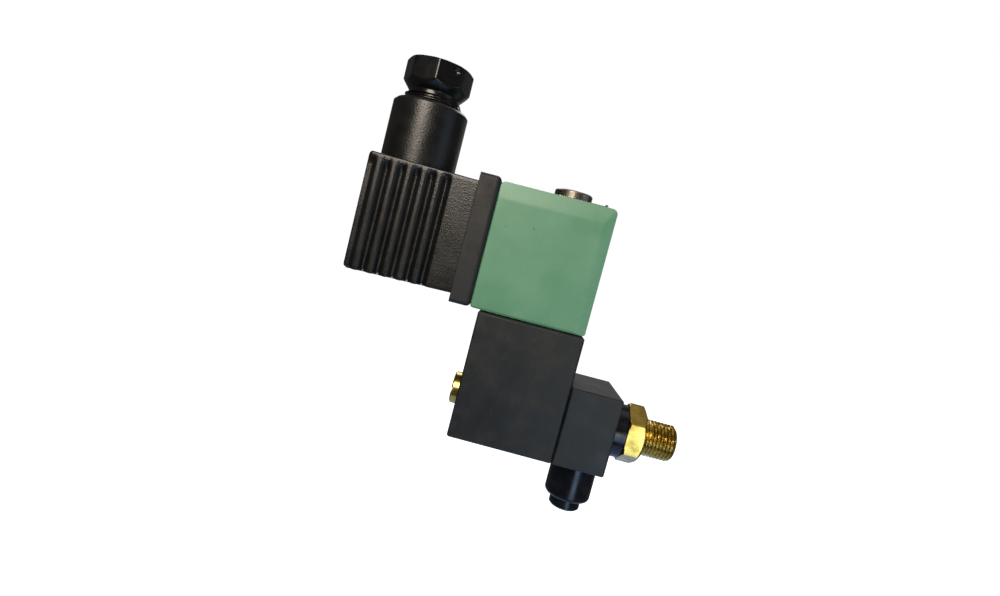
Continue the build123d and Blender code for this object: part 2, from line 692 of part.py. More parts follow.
coil_mid_x = (coil_left + coil_right) / 2
coil_bore = core_tube_dia + 2 * bobbin_bore_gap
yoke_bottom = coil_bottom + coil_end_wall
yoke_top = coil_top - coil_end_wall - yoke_thickness
bobbin_bottom = yoke_bottom + yoke_thickness + yoke_clearance
bobbin_length = yoke_top - yoke_clearance - bobbin_bottom
winding_length = bobbin_length - 2 * bobbin_flange
yoke_back = core_x - bobbin_dia / 2 - yoke_clearance - yoke_thickness
yoke_front = core_x + bobbin_dia / 2
with BuildPart() as coil_casing:
    with BuildSketch(level(coil_mid_x, coil_bottom)):
        Rectangle(coil_length, coil_depth)
    extrude(amount=coil_height)
    # long bevels of the mould along the top and the free end, front and back
    for side in (-1, 1):
        with BuildSketch(along_x(coil_left)):
            with BuildLine():
                Polyline((side * coil_depth / 2, coil_top - coil_bevel_height),
                         (side * coil_depth / 2, coil_top),
                         (side * (coil_depth / 2 - coil_bevel_depth), coil_top), close=True)
            make_face()
        extrude(amount=coil_length, mode=Mode.SUBTRACT)
        with BuildSketch(level(0, coil_bottom)):
            with BuildLine():
                Polyline((coil_right - coil_end_bevel, side * coil_depth / 2),
                         (coil_right, side * coil_depth / 2),
                         (coil_right, side * (coil_depth / 2 - coil_bevel_depth)), close=True)
            make_face()
        extrude(amount=coil_height, mode=Mode.SUBTRACT)
    fillet(coil_casing.edges().filter_by(Axis.Y).group_by(Axis.Z)[-1], coil_edge)
    fillet(coil_casing.edges().filter_by(Axis.Y).group_by(Axis.Z)[0], coil_bottom_edge)
    # bore and the cavity that the bobbin and yoke fill
    with BuildSketch(level(core_x, coil_bottom)):
        Circle(coil_bore / 2)
    extrude(amount=coil_height, mode=Mode.SUBTRACT)
    with BuildSketch(level((yoke_back + yoke_front) / 2, yoke_bottom)):
        Rectangle(yoke_front - yoke_back + 2 * yoke_clearance, bobbin_dia + 2 * yoke_clearance)
    extrude(amount=yoke_top + yoke_thickness - yoke_bottom, mode=Mode.SUBTRACT)
    # slots of the blades and hole of the screw insert
    for y, z, upright in contacts:
        with BuildSketch(along_x(coil_left)):
            with Locations((y, z)):
                Rectangle(blade_thickness, blade_width, rotation=0 if upright else 90)
        extrude(amount=blade_root, mode=Mode.SUBTRACT)
    with BuildSketch(along_x(coil_left)):
        with Locations((0, plug_z)):
            Circle(screw_dia / 2 + insert_wall)
    extrude(amount=screw_reach, mode=Mode.SUBTRACT)
keep(coil_casing.part, "coil_casing")

with BuildPart() as bobbin:
    with BuildSketch(level(core_x, bobbin_bottom)):
        Circle(coil_bore / 2 + bobbin_tube)
    extrude(amount=bobbin_length)
    for z in (bobbin_bottom, bobbin_bottom + bobbin_length - bobbin_flange):
        with BuildSketch(level(core_x, z)):
            Circle(bobbin_dia / 2)
        extrude(amount=bobbin_flange)
    with BuildSketch(level(core_x, bobbin_bottom)):
        Circle(coil_bore / 2)
    extrude(amount=bobbin_length, mode=Mode.SUBTRACT)
keep(bobbin.part, "bobbin")
keep(ring(level(core_x, bobbin_bottom + bobbin_flange), winding_dia, coil_bore + 2 * bobbin_tube,
          winding_length), "coil_winding")

with BuildPart() as yoke:
    with BuildSketch(Plane((0, -yoke_width / 2, 0), x_dir=(1, 0, 0), z_dir=(0, -1, 0))):
        with BuildLine():
            Polyline(
                (yoke_back, yoke_bottom), (yoke_front, yoke_bottom),
                (yoke_front, yoke_bottom + yoke_thickness),
                (yoke_back + yoke_thickness, yoke_bottom + yoke_thickness),
                (yoke_back + yoke_thickness, yoke_top), (yoke_front, yoke_top),
                (yoke_front, yoke_top + yoke_thickness), (yoke_back, yoke_top + yoke_thickness), close=True)
        make_face()
    extrude(amount=-yoke_width)
    with BuildSketch(level(core_x, yoke_bottom)):
        Circle(coil_bore / 2)
    extrude(amount=yoke_top + yoke_thickness - yoke_bottom, mode=Mode.SUBTRACT)
keep(yoke.part, "magnet_yoke")

for label, own in (("power_blades", contacts[:2]), ("earth_blade", contacts[2:])):
    with BuildPart() as blades:
        for y, z, upright in own:
            with BuildSketch(along_x(coil_left + blade_root)):
                with Locations((y, z)):
                    Rectangle(blade_thickness, blade_width, rotation=0 if upright else 90)
            extrude(amount=-(blade_root + blade_length))
        chamfer(blades.edges().group_by(Axis.X)[0], blade_chamfer)
    keep(blades.part, label)
keep(ring(Plane((coil_left, 0, plug_z), x_dir=(0, 1, 0), z_dir=(1, 0, 0)), screw_dia + 2 * insert_wall,
          screw_dia + 2 * screw_gap, screw_reach), "screw_insert")

with BuildPart() as retaining_clip:
    with BuildSketch(level(core_x, clip_z)):
        with Locations(((clip_reach - clip_back) / 2, 0)):
            RectangleRounded(clip_reach + clip_back, clip_width, clip_corner)
        Circle(clip_groove_dia / 2 + clip_groove_gap, mode=Mode.SUBTRACT)
        with Locations((-clip_back, 0)):
            Rectangle(2 * clip_back, clip_groove_dia + 2 * clip_groove_gap, mode=Mode.SUBTRACT)
    extrude(amount=clip_thickness)
    with BuildSketch(level(core_x + clip_reach - clip_thickness / 2, clip_z)):
        Rectangle(clip_thickness, clip_tab_width)
    extrude(amount=clip_tab_height)
keep(retaining_clip.part, "retaining_clip")

# ================= connector =================

inner_depth = housing_depth - 2 * housing_wall
inner_top = housing_top - housing_wall
inner_height = housing_height - 2 * housing_draft - 2 * housing_wall
grommet_floor = shank_bottom - washer_gap - washer_thickness - grommet_gap - grommet_length
boss_dia = screw_head_dia + 2 * boss_wall
boss_length = screw_recess + screw_head + boss_floor
screw_axis = Plane((housing_left, 0, plug_z), x_dir=(0, 1, 0), z_dir=(1, 0, 0))
with BuildPart() as connector_housing:
    with BuildSketch(Plane((0, -housing_depth / 2, 0), x_dir=(1, 0, 0), z_dir=(0, -1, 0))):
        with BuildLine():
            Polyline((housing_left, housing_bottom), (gasket_left, housing_bottom + housing_draft),
                     (gasket_left, housing_top - housing_draft), (housing_left, housing_top), close=True)
        make_face()
    extrude(amount=-housing_depth)
    fillet(connector_housing.edges().group_by(Axis.X)[0], housing_edge)
    # hollow for the contact carrier and the wires, open towards the coil
    with BuildSketch(along_x(housing_left + housing_wall)):
        with Locations((0, plug_z)):
            RectangleRounded(inner_depth, inner_height, gasket_corner)
    extrude(amount=housing_length - housing_wall, mode=Mode.SUBTRACT)
    # grip ribs: grooves down the front and back, open at the bottom
    for side in (-1, 1):
        for rib in range(rib_count):
            groove = housing_left + rib_first + rib * rib_pitch + rib_pitch / 2
            with BuildSketch(level(groove, housing_bottom - cut_past)):
                with Locations((0, side * (housing_depth / 2 + rib_groove_radius - rib_groove_depth))):
                    Circle(rib_groove_radius)
            extrude(amount=housing_height + cut_past - rib_top_land, mode=Mode.SUBTRACT)
    # gland tube
    with BuildSketch(level(gland_x, housing_top - housing_wall)):
        Circle(gland_tube_dia / 2)
    extrude(amount=housing_wall + gland_tube_height)
    chamfer(connector_housing.edges().filter_by(GeomType.CIRCLE).sort_by(Axis.Z)[-1], gland_tube_chamfer)
    with BuildSketch(level(gland_x, gland_top)):
        Circle(gland_thread_dia / 2 + gland_thread_gap)
    extrude(amount=-gland_thread_depth, mode=Mode.SUBTRACT)
    with BuildSketch(level(gland_x, gland_top)):
        Circle(grommet_seat_dia / 2)
    extrude(amount=grommet_floor - gland_top, mode=Mode.SUBTRACT)
    with BuildSketch(level(gland_x, gland_top)):
        Circle(wire_hole_dia / 2)
    extrude(amount=inner_top - housing_draft - cut_past - gland_top, mode=Mode.SUBTRACT)
    # boss, counterbore and hole of the centre screw
    with BuildSketch(screw_axis):
        Circle(boss_dia / 2)
    extrude(amount=boss_length)
    with BuildSketch(screw_axis):
        Circle(screw_head_dia / 2 + screw_gap)
    extrude(amount=screw_recess + screw_head + screw_seal_thickness, mode=Mode.SUBTRACT)
    with BuildSketch(screw_axis):
        Circle(screw_dia / 2 + screw_gap)
    extrude(amount=boss_length, mode=Mode.SUBTRACT)
keep(connector_housing.part, "connector_housing")

with BuildPart() as connector_gasket:
    with BuildSketch(along_x(gasket_left)):
        with Locations((0, plug_z)):
            RectangleRounded(gasket_depth, gasket_height, gasket_corner)
    extrude(amount=gasket_length)
    fillet(connector_gasket.edges().group_by(Axis.X)[-1], gasket_edge)
    with BuildSketch(along_x(gasket_left)):
        with Locations((0, plug_z)):
            RectangleRounded(gasket_depth - 2 * gasket_rim, gasket_height - 2 * gasket_rim, gasket_corner)
    extrude(amount=gasket_length, mode=Mode.SUBTRACT)
keep(connector_gasket.part, "connector_gasket")

carrier_right = coil_left - face_gap
carrier_left = gasket_left - carrier_length
block_face = coil_left - blade_length - blade_end_gap
leaf_right = carrier_right - front_wall - pocket_gap
with BuildPart() as contact_carrier:
    with BuildSketch(along_x(carrier_left)):
        with Locations((0, plug_z)):
            RectangleRounded(inner_depth - 2 * carrier_gap, inner_height - 2 * carrier_gap, gasket_corner)
    extrude(amount=gasket_left - carrier_left)
    with BuildSketch(along_x(gasket_left)):
        with Locations((0, plug_z)):
            RectangleRounded(gasket_depth - 2 * gasket_rim - 2 * carrier_gap,
                             gasket_height - 2 * gasket_rim - 2 * carrier_gap, gasket_corner)
    extrude(amount=carrier_right - gasket_left)
    for y, z, upright in contacts:
        turn = 0 if upright else 90
        # mouth for the blade, channel for the leaves, pocket for the terminal block
        for thin, wide, start, end in (
            (blade_thickness + 2 * blade_gap, blade_width + 2 * blade_gap, leaf_right, carrier_right),
            (leaf_span + 2 * pocket_gap, terminal_width + 2 * pocket_gap, carrier_left,
             leaf_right + pocket_gap),
            (terminal_thickness + 2 * pocket_gap, terminal_width + 2 * pocket_gap, carrier_left,
             block_face + pocket_gap),
        ):
            with BuildSketch(along_x(start)):
                with Locations((y, z)):
                    Rectangle(thin, wide, rotation=turn)
            extrude(amount=end - start, mode=Mode.SUBTRACT)
    with BuildSketch(along_x(carrier_left)):
        with Locations((0, plug_z)):
            Circle(screw_dia / 2 + screw_gap)
    extrude(amount=carrier_right - carrier_left, mode=Mode.SUBTRACT)
keep(contact_carrier.part, "contact_carrier")

with BuildPart() as contact_clips:
    for y, z, upright in contacts:
        turn = 0 if upright else 90
        with BuildSketch(along_x(block_face)):
            with Locations((y, z)):
                Rectangle(terminal_thickness, terminal_width, rotation=turn)
        extrude(amount=-terminal_length)
        with BuildSketch(along_x(block_face)):
            with Locations((y, z)):
                Rectangle(leaf_span, blade_width, rotation=turn)
                Rectangle(blade_thickness + 2 * contact_gap, blade_width, rotation=turn, mode=Mode.SUBTRACT)
        extrude(amount=leaf_right - block_face)
        with BuildSketch(along_x(block_face - terminal_length)):
            with Locations((y, z)):
                Circle(terminal_screw_dia / 2)
        extrude(amount=terminal_length - terminal_floor, mode=Mode.SUBTRACT)
keep(contact_clips.part, "contact_clips")

with BuildPart() as terminal_screws:
    for y, z, upright in contacts:
        with BuildSketch(along_x(block_face - terminal_length)):
            with Locations((y, z)):
                Circle(terminal_screw_dia / 2)
        extrude(amount=terminal_length - terminal_floor - terminal_end_gap)
        with BuildSketch(along_x(block_face - terminal_length)):
            with Locations((y, z)):
                Circle(terminal_head_dia / 2)
        extrude(amount=-terminal_head)
        with BuildSketch(along_x(block_face - terminal_length - terminal_head)):
            with Locations((y, z)):
                Rectangle(2 * terminal_head_dia, terminal_slot)
        extrude(amount=terminal_slot, mode=Mode.SUBTRACT)
keep(terminal_screws.part, "terminal_screws")

screw_end = coil_left + screw_reach - screw_end_gap
with BuildPart() as connector_screw:
    with BuildSketch(screw_axis.offset(screw_recess)):
        Circle(screw_dia / 2)
    extrude(amount=screw_end - housing_left - screw_recess)
    with BuildSketch(screw_axis.offset(screw_recess)):
        Circle(screw_head_dia / 2)
    extrude(amount=screw_head)
    fillet(connector_screw.edges().filter_by(GeomType.CIRCLE).sort_by(Axis.X)[0], screw_head_edge)
    with BuildSketch(screw_axis.offset(screw_recess)):
        Rectangle(screw_slot_width, 2 * screw_head_dia)
    extrude(amount=screw_slot_depth, mode=Mode.SUBTRACT)
keep(connector_screw.part, "connector_screw")
keep(ring(screw_axis.offset(screw_recess + screw_head + screw_turn_gap), screw_head_dia,
          screw_dia + 2 * screw_gap, screw_seal_thickness - screw_turn_gap), "screw_seal")

# ================= cable gland =================

with BuildPart() as gland_nut:
    with BuildSketch(level(gland_x, nut_bottom)):
        RegularPolygon(nut_corner_dia / 2, nut_sides, rotation=nut_turn)
    extrude(amount=nut_bevel + nut_head)
    # cone under the head and a light chamfer on its top corners
    with BuildSketch(Plane((gland_x, 0, 0), x_dir=(1, 0, 0), z_dir=(0, -1, 0))):
        with BuildLine():
            Polyline((0, nut_bottom), (nut_corner_dia / 2 - nut_cone_inset, nut_bottom),
                     (nut_corner_dia / 2, nut_bottom + nut_bevel),
                     (nut_corner_dia / 2, nut_top - nut_edge_height),
                     (nut_corner_dia / 2 - nut_edge_width, nut_top), (0, nut_top), close=True)
        make_face()
    revolve(axis=Axis((gland_x, 0, 0), (0, 0, 1)), mode=Mode.INTERSECT)
    with BuildSketch(level(gland_x, shank_bottom)):
        Circle(gland_thread_dia / 2)
    extrude(amount=nut_shank)
    chamfer(gland_nut.edges().filter_by(GeomType.CIRCLE).sort_by(Axis.Z)[0], shank_chamfer)
    with BuildSketch(level(gland_x, shank_bottom)):
        Circle(cable_bore / 2)
    extrude(amount=nut_top - shank_bottom, mode=Mode.SUBTRACT)
    mouth = gland_nut.edges().filter_by(GeomType.CIRCLE).group_by(Axis.Z)[-1].sort_by(SortBy.RADIUS)[0]
    chamfer(mouth, nut_mouth_chamfer)
keep(gland_nut.part, "gland_nut")
grommet_dia = grommet_seat_dia - 2 * washer_side_gap
keep(ring(level(gland_x, shank_bottom - washer_gap - washer_thickness), grommet_dia,
          washer_bore, washer_thickness), "gland_washer")
keep(ring(level(gland_x, grommet_floor), grommet_dia,
          grommet_bore, grommet_length), "gland_grommet")

os.makedirs("parts", exist_ok=True)
for piece in pieces:
    export_step(piece, f"parts/{piece.label}.step")
print(len(pieces), "pieces")
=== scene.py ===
import math

import bmesh
import bpy
import numpy as np
from mathutils import Matrix, Vector


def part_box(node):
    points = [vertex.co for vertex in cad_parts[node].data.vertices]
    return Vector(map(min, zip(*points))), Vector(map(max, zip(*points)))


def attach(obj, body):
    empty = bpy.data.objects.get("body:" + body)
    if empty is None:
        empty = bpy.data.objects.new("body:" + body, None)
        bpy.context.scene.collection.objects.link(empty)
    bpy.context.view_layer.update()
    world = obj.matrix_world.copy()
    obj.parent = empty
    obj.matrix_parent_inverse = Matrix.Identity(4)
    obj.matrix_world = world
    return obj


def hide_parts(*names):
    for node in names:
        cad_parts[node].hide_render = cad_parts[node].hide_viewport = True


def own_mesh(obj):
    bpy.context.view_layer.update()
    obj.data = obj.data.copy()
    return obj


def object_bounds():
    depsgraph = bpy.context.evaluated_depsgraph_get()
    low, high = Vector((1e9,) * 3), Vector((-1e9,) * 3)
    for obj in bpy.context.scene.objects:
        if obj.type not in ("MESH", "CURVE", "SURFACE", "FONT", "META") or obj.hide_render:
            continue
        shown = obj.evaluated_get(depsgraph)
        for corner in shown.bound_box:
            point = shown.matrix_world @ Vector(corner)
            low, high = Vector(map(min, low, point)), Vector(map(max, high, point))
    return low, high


# Small solenoid valve on a swivelling hollow bolt. Shapes are worked out in millimetres and
# turned into metres once, in makePiece. Places come from the CAD nodes' boxes.
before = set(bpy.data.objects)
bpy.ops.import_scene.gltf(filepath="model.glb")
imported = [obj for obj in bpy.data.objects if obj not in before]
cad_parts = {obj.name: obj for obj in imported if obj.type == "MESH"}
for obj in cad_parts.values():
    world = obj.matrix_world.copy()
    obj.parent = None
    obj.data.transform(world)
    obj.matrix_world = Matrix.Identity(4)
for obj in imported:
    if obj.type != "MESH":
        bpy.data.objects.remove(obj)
cadLow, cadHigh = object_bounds()
mmPerMetre = 1000.0
fullTurn = 2 * math.pi
print("frame loaded:", len(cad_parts), "nodes")


def cadBox(name):
    # lowest and highest corner of a node in millimetres
    low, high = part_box(name)
    return np.array(low) * mmPerMetre, np.array(high) * mmPerMetre


# shape tools

def softPath(corners, bend=6):
    # closed outline: every corner is (along, radius, ease, step), eased by a quadratic curve
    # of size ease, and the straight run after it is cut into lengths of about step
    points = np.array([corner[:2] for corner in corners], float)
    ease = np.array([corner[2] for corner in corners], float)[:, None]
    onward = np.roll(points, -1, 0) - points
    onward /= np.linalg.norm(onward, axis=1, keepdims=True)
    starts = points - np.roll(onward, 1, 0) * ease
    ends = points + onward * ease
    t = np.linspace(0, 1, bend)[:, None]
    path = []
    for k, corner in enumerate(corners):
        curve = (1 - t) ** 2 * starts[k] + 2 * t * (1 - t) * points[k] + t ** 2 * ends[k]
        path.append(curve if corner[2] else points[k:k + 1])
        run = starts[(k + 1) % len(corners)] - ends[k]
        steps = max(1, math.ceil(np.linalg.norm(run) / corner[3]))
        path.append(ends[k] + run * (np.arange(1, steps) / steps)[:, None])
    return np.concatenate(path)


def smoothStep(value, low, high):
    # a cubic step: 0 below low, 1 above high, level at both ends
    t = np.clip((value - low) / (high - low), 0, 1)
    return t * t * (3 - 2 * t)


def softMin(a, b, blend):
    # the smaller of two values, rounded over a width of about blend where they cross
    low = np.minimum(a, b)
    return low - blend * np.log(np.exp(-(a - low) / blend) + np.exp(-(b - low) / blend))


def polygonRadius(angle, sides, flats, corner):
    # distance from the centre to a regular polygon's edge, one corner pointing at angle corner
    wedge = fullTurn / sides
    return flats / 2 / np.cos(np.mod(angle - corner, wedge) - wedge / 2)


def threadDrop(along, angle, pitch, depth, flat=0.16):
    # depth below the crest of a right-hand thread: a triangle wave of the distance along the axis
    # less the helix's rise, with its crests and roots cut flat
    phase = np.mod(along / pitch - angle / fullTurn, 1)
    wave = np.abs(2 * phase - 1)
    return depth * np.clip((wave - flat) / (1 - 2 * flat), 0, 1)


def turnedRings(along, radius, angle, centre, axis):
    # rings round an axis: along gives the height of each, radius its size at every angle
    radius = np.broadcast_to(radius, (len(along), len(angle)))
    across, up = radius * np.cos(angle), radius * np.sin(angle)
    level = np.broadcast_to(along[:, None], radius.shape)
    if axis == "x":
        return np.stack([level, centre[1] + across, centre[2] + up], -1)
    return np.stack([centre[0] + across, centre[1] + up, level], -1)


def closedShell(rings):
    # the rings join into a tube whose last ring meets the first, so there is no open edge
    count, around = rings.shape[:2]
    row, column = np.meshgrid(np.arange(count), np.arange(around), indexing="ij")
    below, beside = (row + 1) % count, (column + 1) % around
    faces = np.stack([row * around + column, below * around + column,
                      below * around + beside, row * around + beside], -1)
    return rings.reshape(-1, 3), faces.reshape(-1, 4)


def cappedShell(rings):
    # an open tube whose first and last rings are points, which makePiece merges
    points, faces = closedShell(rings)
    return points, faces[:-rings.shape[1]]


def outlineTable(sideSteps, endSteps, cornerSteps):
    # a rounded rectangle as whole arrays: a point is slide * (half - corner) + lean * corner
    turn = np.linspace(0, math.pi / 2, cornerSteps)
    slide, lean = [], []
    for quarter in range(4):
        here, there = (np.array([math.cos(a), math.sin(a)]) * math.sqrt(2) for a in
                       (math.pi / 4 + quarter * math.pi / 2, math.pi * 3 / 4 + quarter * math.pi / 2))
        arc = turn + quarter * math.pi / 2
        slide.append(np.tile(here, (cornerSteps, 1)))
        lean.append(np.stack([np.cos(arc), np.sin(arc)], -1))
        steps = endSteps if quarter % 2 == 0 else sideSteps
        share = (np.arange(1, steps) / steps)[:, None]
        slide.append(here + (there - here) * share)
        lean.append(np.tile(lean[-1][-1], (steps - 1, 1)))
    return np.concatenate(slide), np.concatenate(lean)


def makePiece(name, shells, body, material, replaced, sharpAngle=38, merge=False):
    # each shell is closed, so the volume that it encloses says whether its faces point outwards
    points, faces, start = [], [], 0
    for shellPoints, shellFaces in shells:
        a, b, c, d = (shellPoints[shellFaces[:, k]] for k in range(4))
        volume = (a * np.cross(b, c)).sum() + (a * np.cross(c, d)).sum()
        points.append(shellPoints / mmPerMetre)
        faces.append((shellFaces if volume > 0 else shellFaces[:, ::-1]) + start)
        start += len(shellPoints)
    mesh = bpy.data.meshes.new(name)
    mesh.from_pydata(np.concatenate(points).tolist(), [], np.concatenate(faces).tolist())
    if merge:
        loose = bmesh.new()
        loose.from_mesh(mesh)
        bmesh.ops.remove_doubles(loose, verts=loose.verts, dist=1e-8)
        loose.to_mesh(mesh)
        loose.free()
    mesh.shade_smooth()
    mesh.set_sharp_from_angle(angle=math.radians(sharpAngle))
    mesh.materials.append(material)
    piece = bpy.data.objects.new(name, mesh)
    bpy.context.scene.collection.objects.link(piece)
    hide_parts(*replaced)
    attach(piece, body)
    print("  piece", name, len(mesh.polygons), "faces")
    return piece


# material tools

waveRepeat = fullTurn / 20    # a wave texture of scale 1 repeats after this length


def linear(hexColour):
    # sRGB hex to linear red, green, blue, alpha
    channels = [int(hexColour[k:k + 2], 16) / 255 for k in (1, 3, 5)]
    return [c / 12.92 if c <= 0.04045 else ((c + 0.055) / 1.055) ** 2.4 for c in channels] + [1.0]


def addNode(tree, kind, output, inputs=None, **settings):
    # one node with its settings and links: an input is a value or the socket that feeds it, and
    # what comes back is the output of that name or number. A Mix node for colours takes its share
    # at 0 and its two colours at 6 and 7, and gives the result at 2
    made = tree.nodes.new(kind)
    for key, value in settings.items():
        setattr(made, key, value)
    for key, value in (inputs or {}).items():
        if isinstance(value, bpy.types.NodeSocket):
            tree.links.new(value, made.inputs[key])
        else:
            made.inputs[key].default_value = value
    return made.outputs[output]


def perMetre(size):
    # a pattern's scale from the size of one of its features in millimetres
    return mmPerMetre / size


def startMaterial(name, constants):
    # a material with its shader and the object's own coordinates; constants go on the shader's sockets
    material = bpy.data.materials.new(name)
    material.use_nodes = True
    tree = material.node_tree
    shader = tree.nodes["Principled BSDF"]
    for key, value in constants.items():
        shader.inputs[key].default_value = value
    place = addNode(tree, "ShaderNodeTexCoord", "Object")
    return material, tree, shader, place


def feedShader(tree, shader, colour, shine, normal=None):
    # the patterns reach the shader: its colour, its roughness and, where there is one, its bump
    for key, socket in (("Base Color", colour), ("Roughness", shine), ("Normal", normal)):
        if socket is not None:
            tree.links.new(socket, shader.inputs[key])


# finishes

def turnedBrass():
    # free-cutting brass, turned and milled: warm yellow, bright where the tool left it clean,
    # with brown tarnish in patches and fine tool lines across the axis, about 0.16 mm apart
    material, tree, shader, place = startMaterial("turnedBrass", {"Metallic": 1.0})
    tarnish = addNode(tree, "ShaderNodeTexNoise", "Fac", {
        "Vector": place, "Scale": perMetre(3.5), "Detail": 6.0, "Roughness": 0.62})
    specks = addNode(tree, "ShaderNodeTexNoise", "Fac", {
        "Vector": place, "Scale": perMetre(0.5), "Detail": 3.0})
    patches = addNode(tree, "ShaderNodeMapRange", 0, {"Value": tarnish, "From Min": 0.35, "From Max": 0.7})
    spots = addNode(tree, "ShaderNodeMapRange", 0, {
        "Value": specks, "From Min": 0.6, "From Max": 0.8, "To Max": 0.35})
    clean = addNode(tree, "ShaderNodeMix", 2, {
        0: patches, 6: linear("#d8ba62"), 7: linear("#a3893f")}, data_type="RGBA")
    stained = addNode(tree, "ShaderNodeMix", 2, {0: spots, 6: clean, 7: linear("#4d3b1c")}, data_type="RGBA")
    shine = addNode(tree, "ShaderNodeMapRange", 0, {
        "Value": tarnish, "From Min": 0.3, "From Max": 0.75, "To Min": 0.18, "To Max": 0.34})
    lines = addNode(tree, "ShaderNodeTexWave", "Fac", {
        "Vector": place, "Scale": perMetre(0.1579) * waveRepeat, "Distortion": 0.6, "Detail": 2.0},
        bands_direction="X")
    bump = addNode(tree, "ShaderNodeBump", 0, {"Height": lines, "Strength": 0.06, "Distance": 0.00001})
    feedShader(tree, shader, stained, shine, bump)
    return material


def anodisedAluminium():
    # aluminium bar, sawn, milled and anodised black: satin charcoal with a cool cast, brownish
    # rub marks where it has been handled, and lighter corners that are partly dye worn thin and
    # partly a painted highlight along the edges
    material, tree, shader, place = startMaterial("anodisedAluminium", {"IOR": 1.5})
    mottle = addNode(tree, "ShaderNodeTexNoise", "Fac", {
        "Vector": place, "Scale": perMetre(7.0), "Detail": 7.0, "Roughness": 0.68})
    grain = addNode(tree, "ShaderNodeTexNoise", "Fac", {
        "Vector": place, "Scale": perMetre(0.22), "Detail": 2.0})
    stretch = addNode(tree, "ShaderNodeMapping", 0, {
        "Vector": place, "Scale": (1.0, 1.0, 0.12), "Rotation": (0.0, 0.5, 0.0)})
    scratch = addNode(tree, "ShaderNodeTexNoise", "Fac", {
        "Vector": stretch, "Scale": perMetre(0.7), "Detail": 3.0})
    drift = addNode(tree, "ShaderNodeMapRange", 0, {"Value": mottle, "From Min": 0.4, "From Max": 0.62})
    rub = addNode(tree, "ShaderNodeMapRange", 0, {
        "Value": mottle, "From Min": 0.5, "From Max": 0.7, "To Max": 0.4})
    scuff = addNode(tree, "ShaderNodeMapRange", 0, {
        "Value": scratch, "From Min": 0.66, "From Max": 0.78, "To Max": 0.2})
    cool = addNode(tree, "ShaderNodeMix", 2, {
        0: drift, 6: linear("#0d1215"), 7: linear("#131718")}, data_type="RGBA")
    rubbed = addNode(tree, "ShaderNodeMix", 2, {0: rub, 6: cool, 7: linear("#363127")}, data_type="RGBA")
    scuffed = addNode(tree, "ShaderNodeMix", 2, {0: scuff, 6: rubbed, 7: linear("#4d483b")}, data_type="RGBA")
    # the rounded normal turns away from the flat one only near an edge
    rounded = addNode(tree, "ShaderNodeBevel", 0, {"Radius": 0.00035}, samples=6)
    flat = addNode(tree, "ShaderNodeNewGeometry", "Normal")
    agree = addNode(tree, "ShaderNodeVectorMath", "Value", {0: rounded, 1: flat}, operation="DOT_PRODUCT")
    nearEdge = addNode(tree, "ShaderNodeMapRange", 0, {"Value": agree, "From Min": 0.995, "From Max": 0.9})
    uneven = addNode(tree, "ShaderNodeMapRange", 0, {
        "Value": mottle, "From Min": 0.4, "From Max": 0.6, "To Min": 0.25, "To Max": 0.9})
    # lighter near the edges: partly wear of the dye, partly a painted highlight
    wearAndPaintedHighlight = addNode(tree, "ShaderNodeMath", 0, {0: nearEdge, 1: uneven}, operation="MULTIPLY")
    edgeWearAndPaintedHighlight = addNode(tree, "ShaderNodeMix", 2, {0: wearAndPaintedHighlight, 6: scuffed, 7: linear("#3a3f44")}, data_type="RGBA")
    shine = addNode(tree, "ShaderNodeMapRange", 0, {
        "Value": mottle, "From Min": 0.35, "From Max": 0.7, "To Min": 0.4, "To Max": 0.58})
    bump = addNode(tree, "ShaderNodeBump", 0, {
        "Height": grain, "Normal": rounded, "Strength": 0.25, "Distance": 0.00002})
    feedShader(tree, shader, edgeWearAndPaintedHighlight, shine, bump)
    return material


def grainedNylon():
    # glass-filled nylon moulded in a spark-eroded tool: near black and slightly warm, with a fine
    # pebble grain that breaks up the reflections; the grain is drawn at 0.35 mm so that it shows
    material, tree, shader, place = startMaterial("grainedNylon", {"IOR": 1.53})
    grain = addNode(tree, "ShaderNodeTexVoronoi", "Distance", {
        "Vector": place, "Scale": perMetre(0.35)}, feature="SMOOTH_F1")
    haze = addNode(tree, "ShaderNodeTexNoise", "Fac", {
        "Vector": place, "Scale": perMetre(5.0), "Detail": 5.0, "Roughness": 0.6})
    drift = addNode(tree, "ShaderNodeMapRange", 0, {"Value": haze, "From Min": 0.4, "From Max": 0.65})
    tone = addNode(tree, "ShaderNodeMix", 2, {
        0: drift, 6: linear("#0b0b0a"), 7: linear("#141311")}, data_type="RGBA")
    shine = addNode(tree, "ShaderNodeMapRange", 0, {
        "Value": haze, "From Min": 0.35, "From Max": 0.7, "To Min": 0.3, "To Max": 0.4})
    bump = addNode(tree, "ShaderNodeBump", 0, {"Height": grain, "Strength": 0.4, "Distance": 0.00008})
    feedShader(tree, shader, tone, shine, bump)
    return material


def glossNylon():
    # unfilled nylon from a polished tool: black with a soft shine and faint flow marks
    material, tree, shader, place = startMaterial("glossNylon", {"IOR": 1.53})
    flow = addNode(tree, "ShaderNodeTexNoise", "Fac", {
        "Vector": place, "Scale": perMetre(4.0), "Detail": 4.0, "Distortion": 0.8})
    drift = addNode(tree, "ShaderNodeMapRange", 0, {"Value": flow, "From Min": 0.4, "From Max": 0.65})
    tone = addNode(tree, "ShaderNodeMix", 2, {
        0: drift, 6: linear("#090909"), 7: linear("#101011")}, data_type="RGBA")
    shine = addNode(tree, "ShaderNodeMapRange", 0, {
        "Value": flow, "From Min": 0.35, "From Max": 0.7, "To Min": 0.2, "To Max": 0.28})
    bump = addNode(tree, "ShaderNodeBump", 0, {"Height": flow, "Strength": 0.15, "Distance": 0.00008})
    feedShader(tree, shader, tone, shine, bump)
    return material


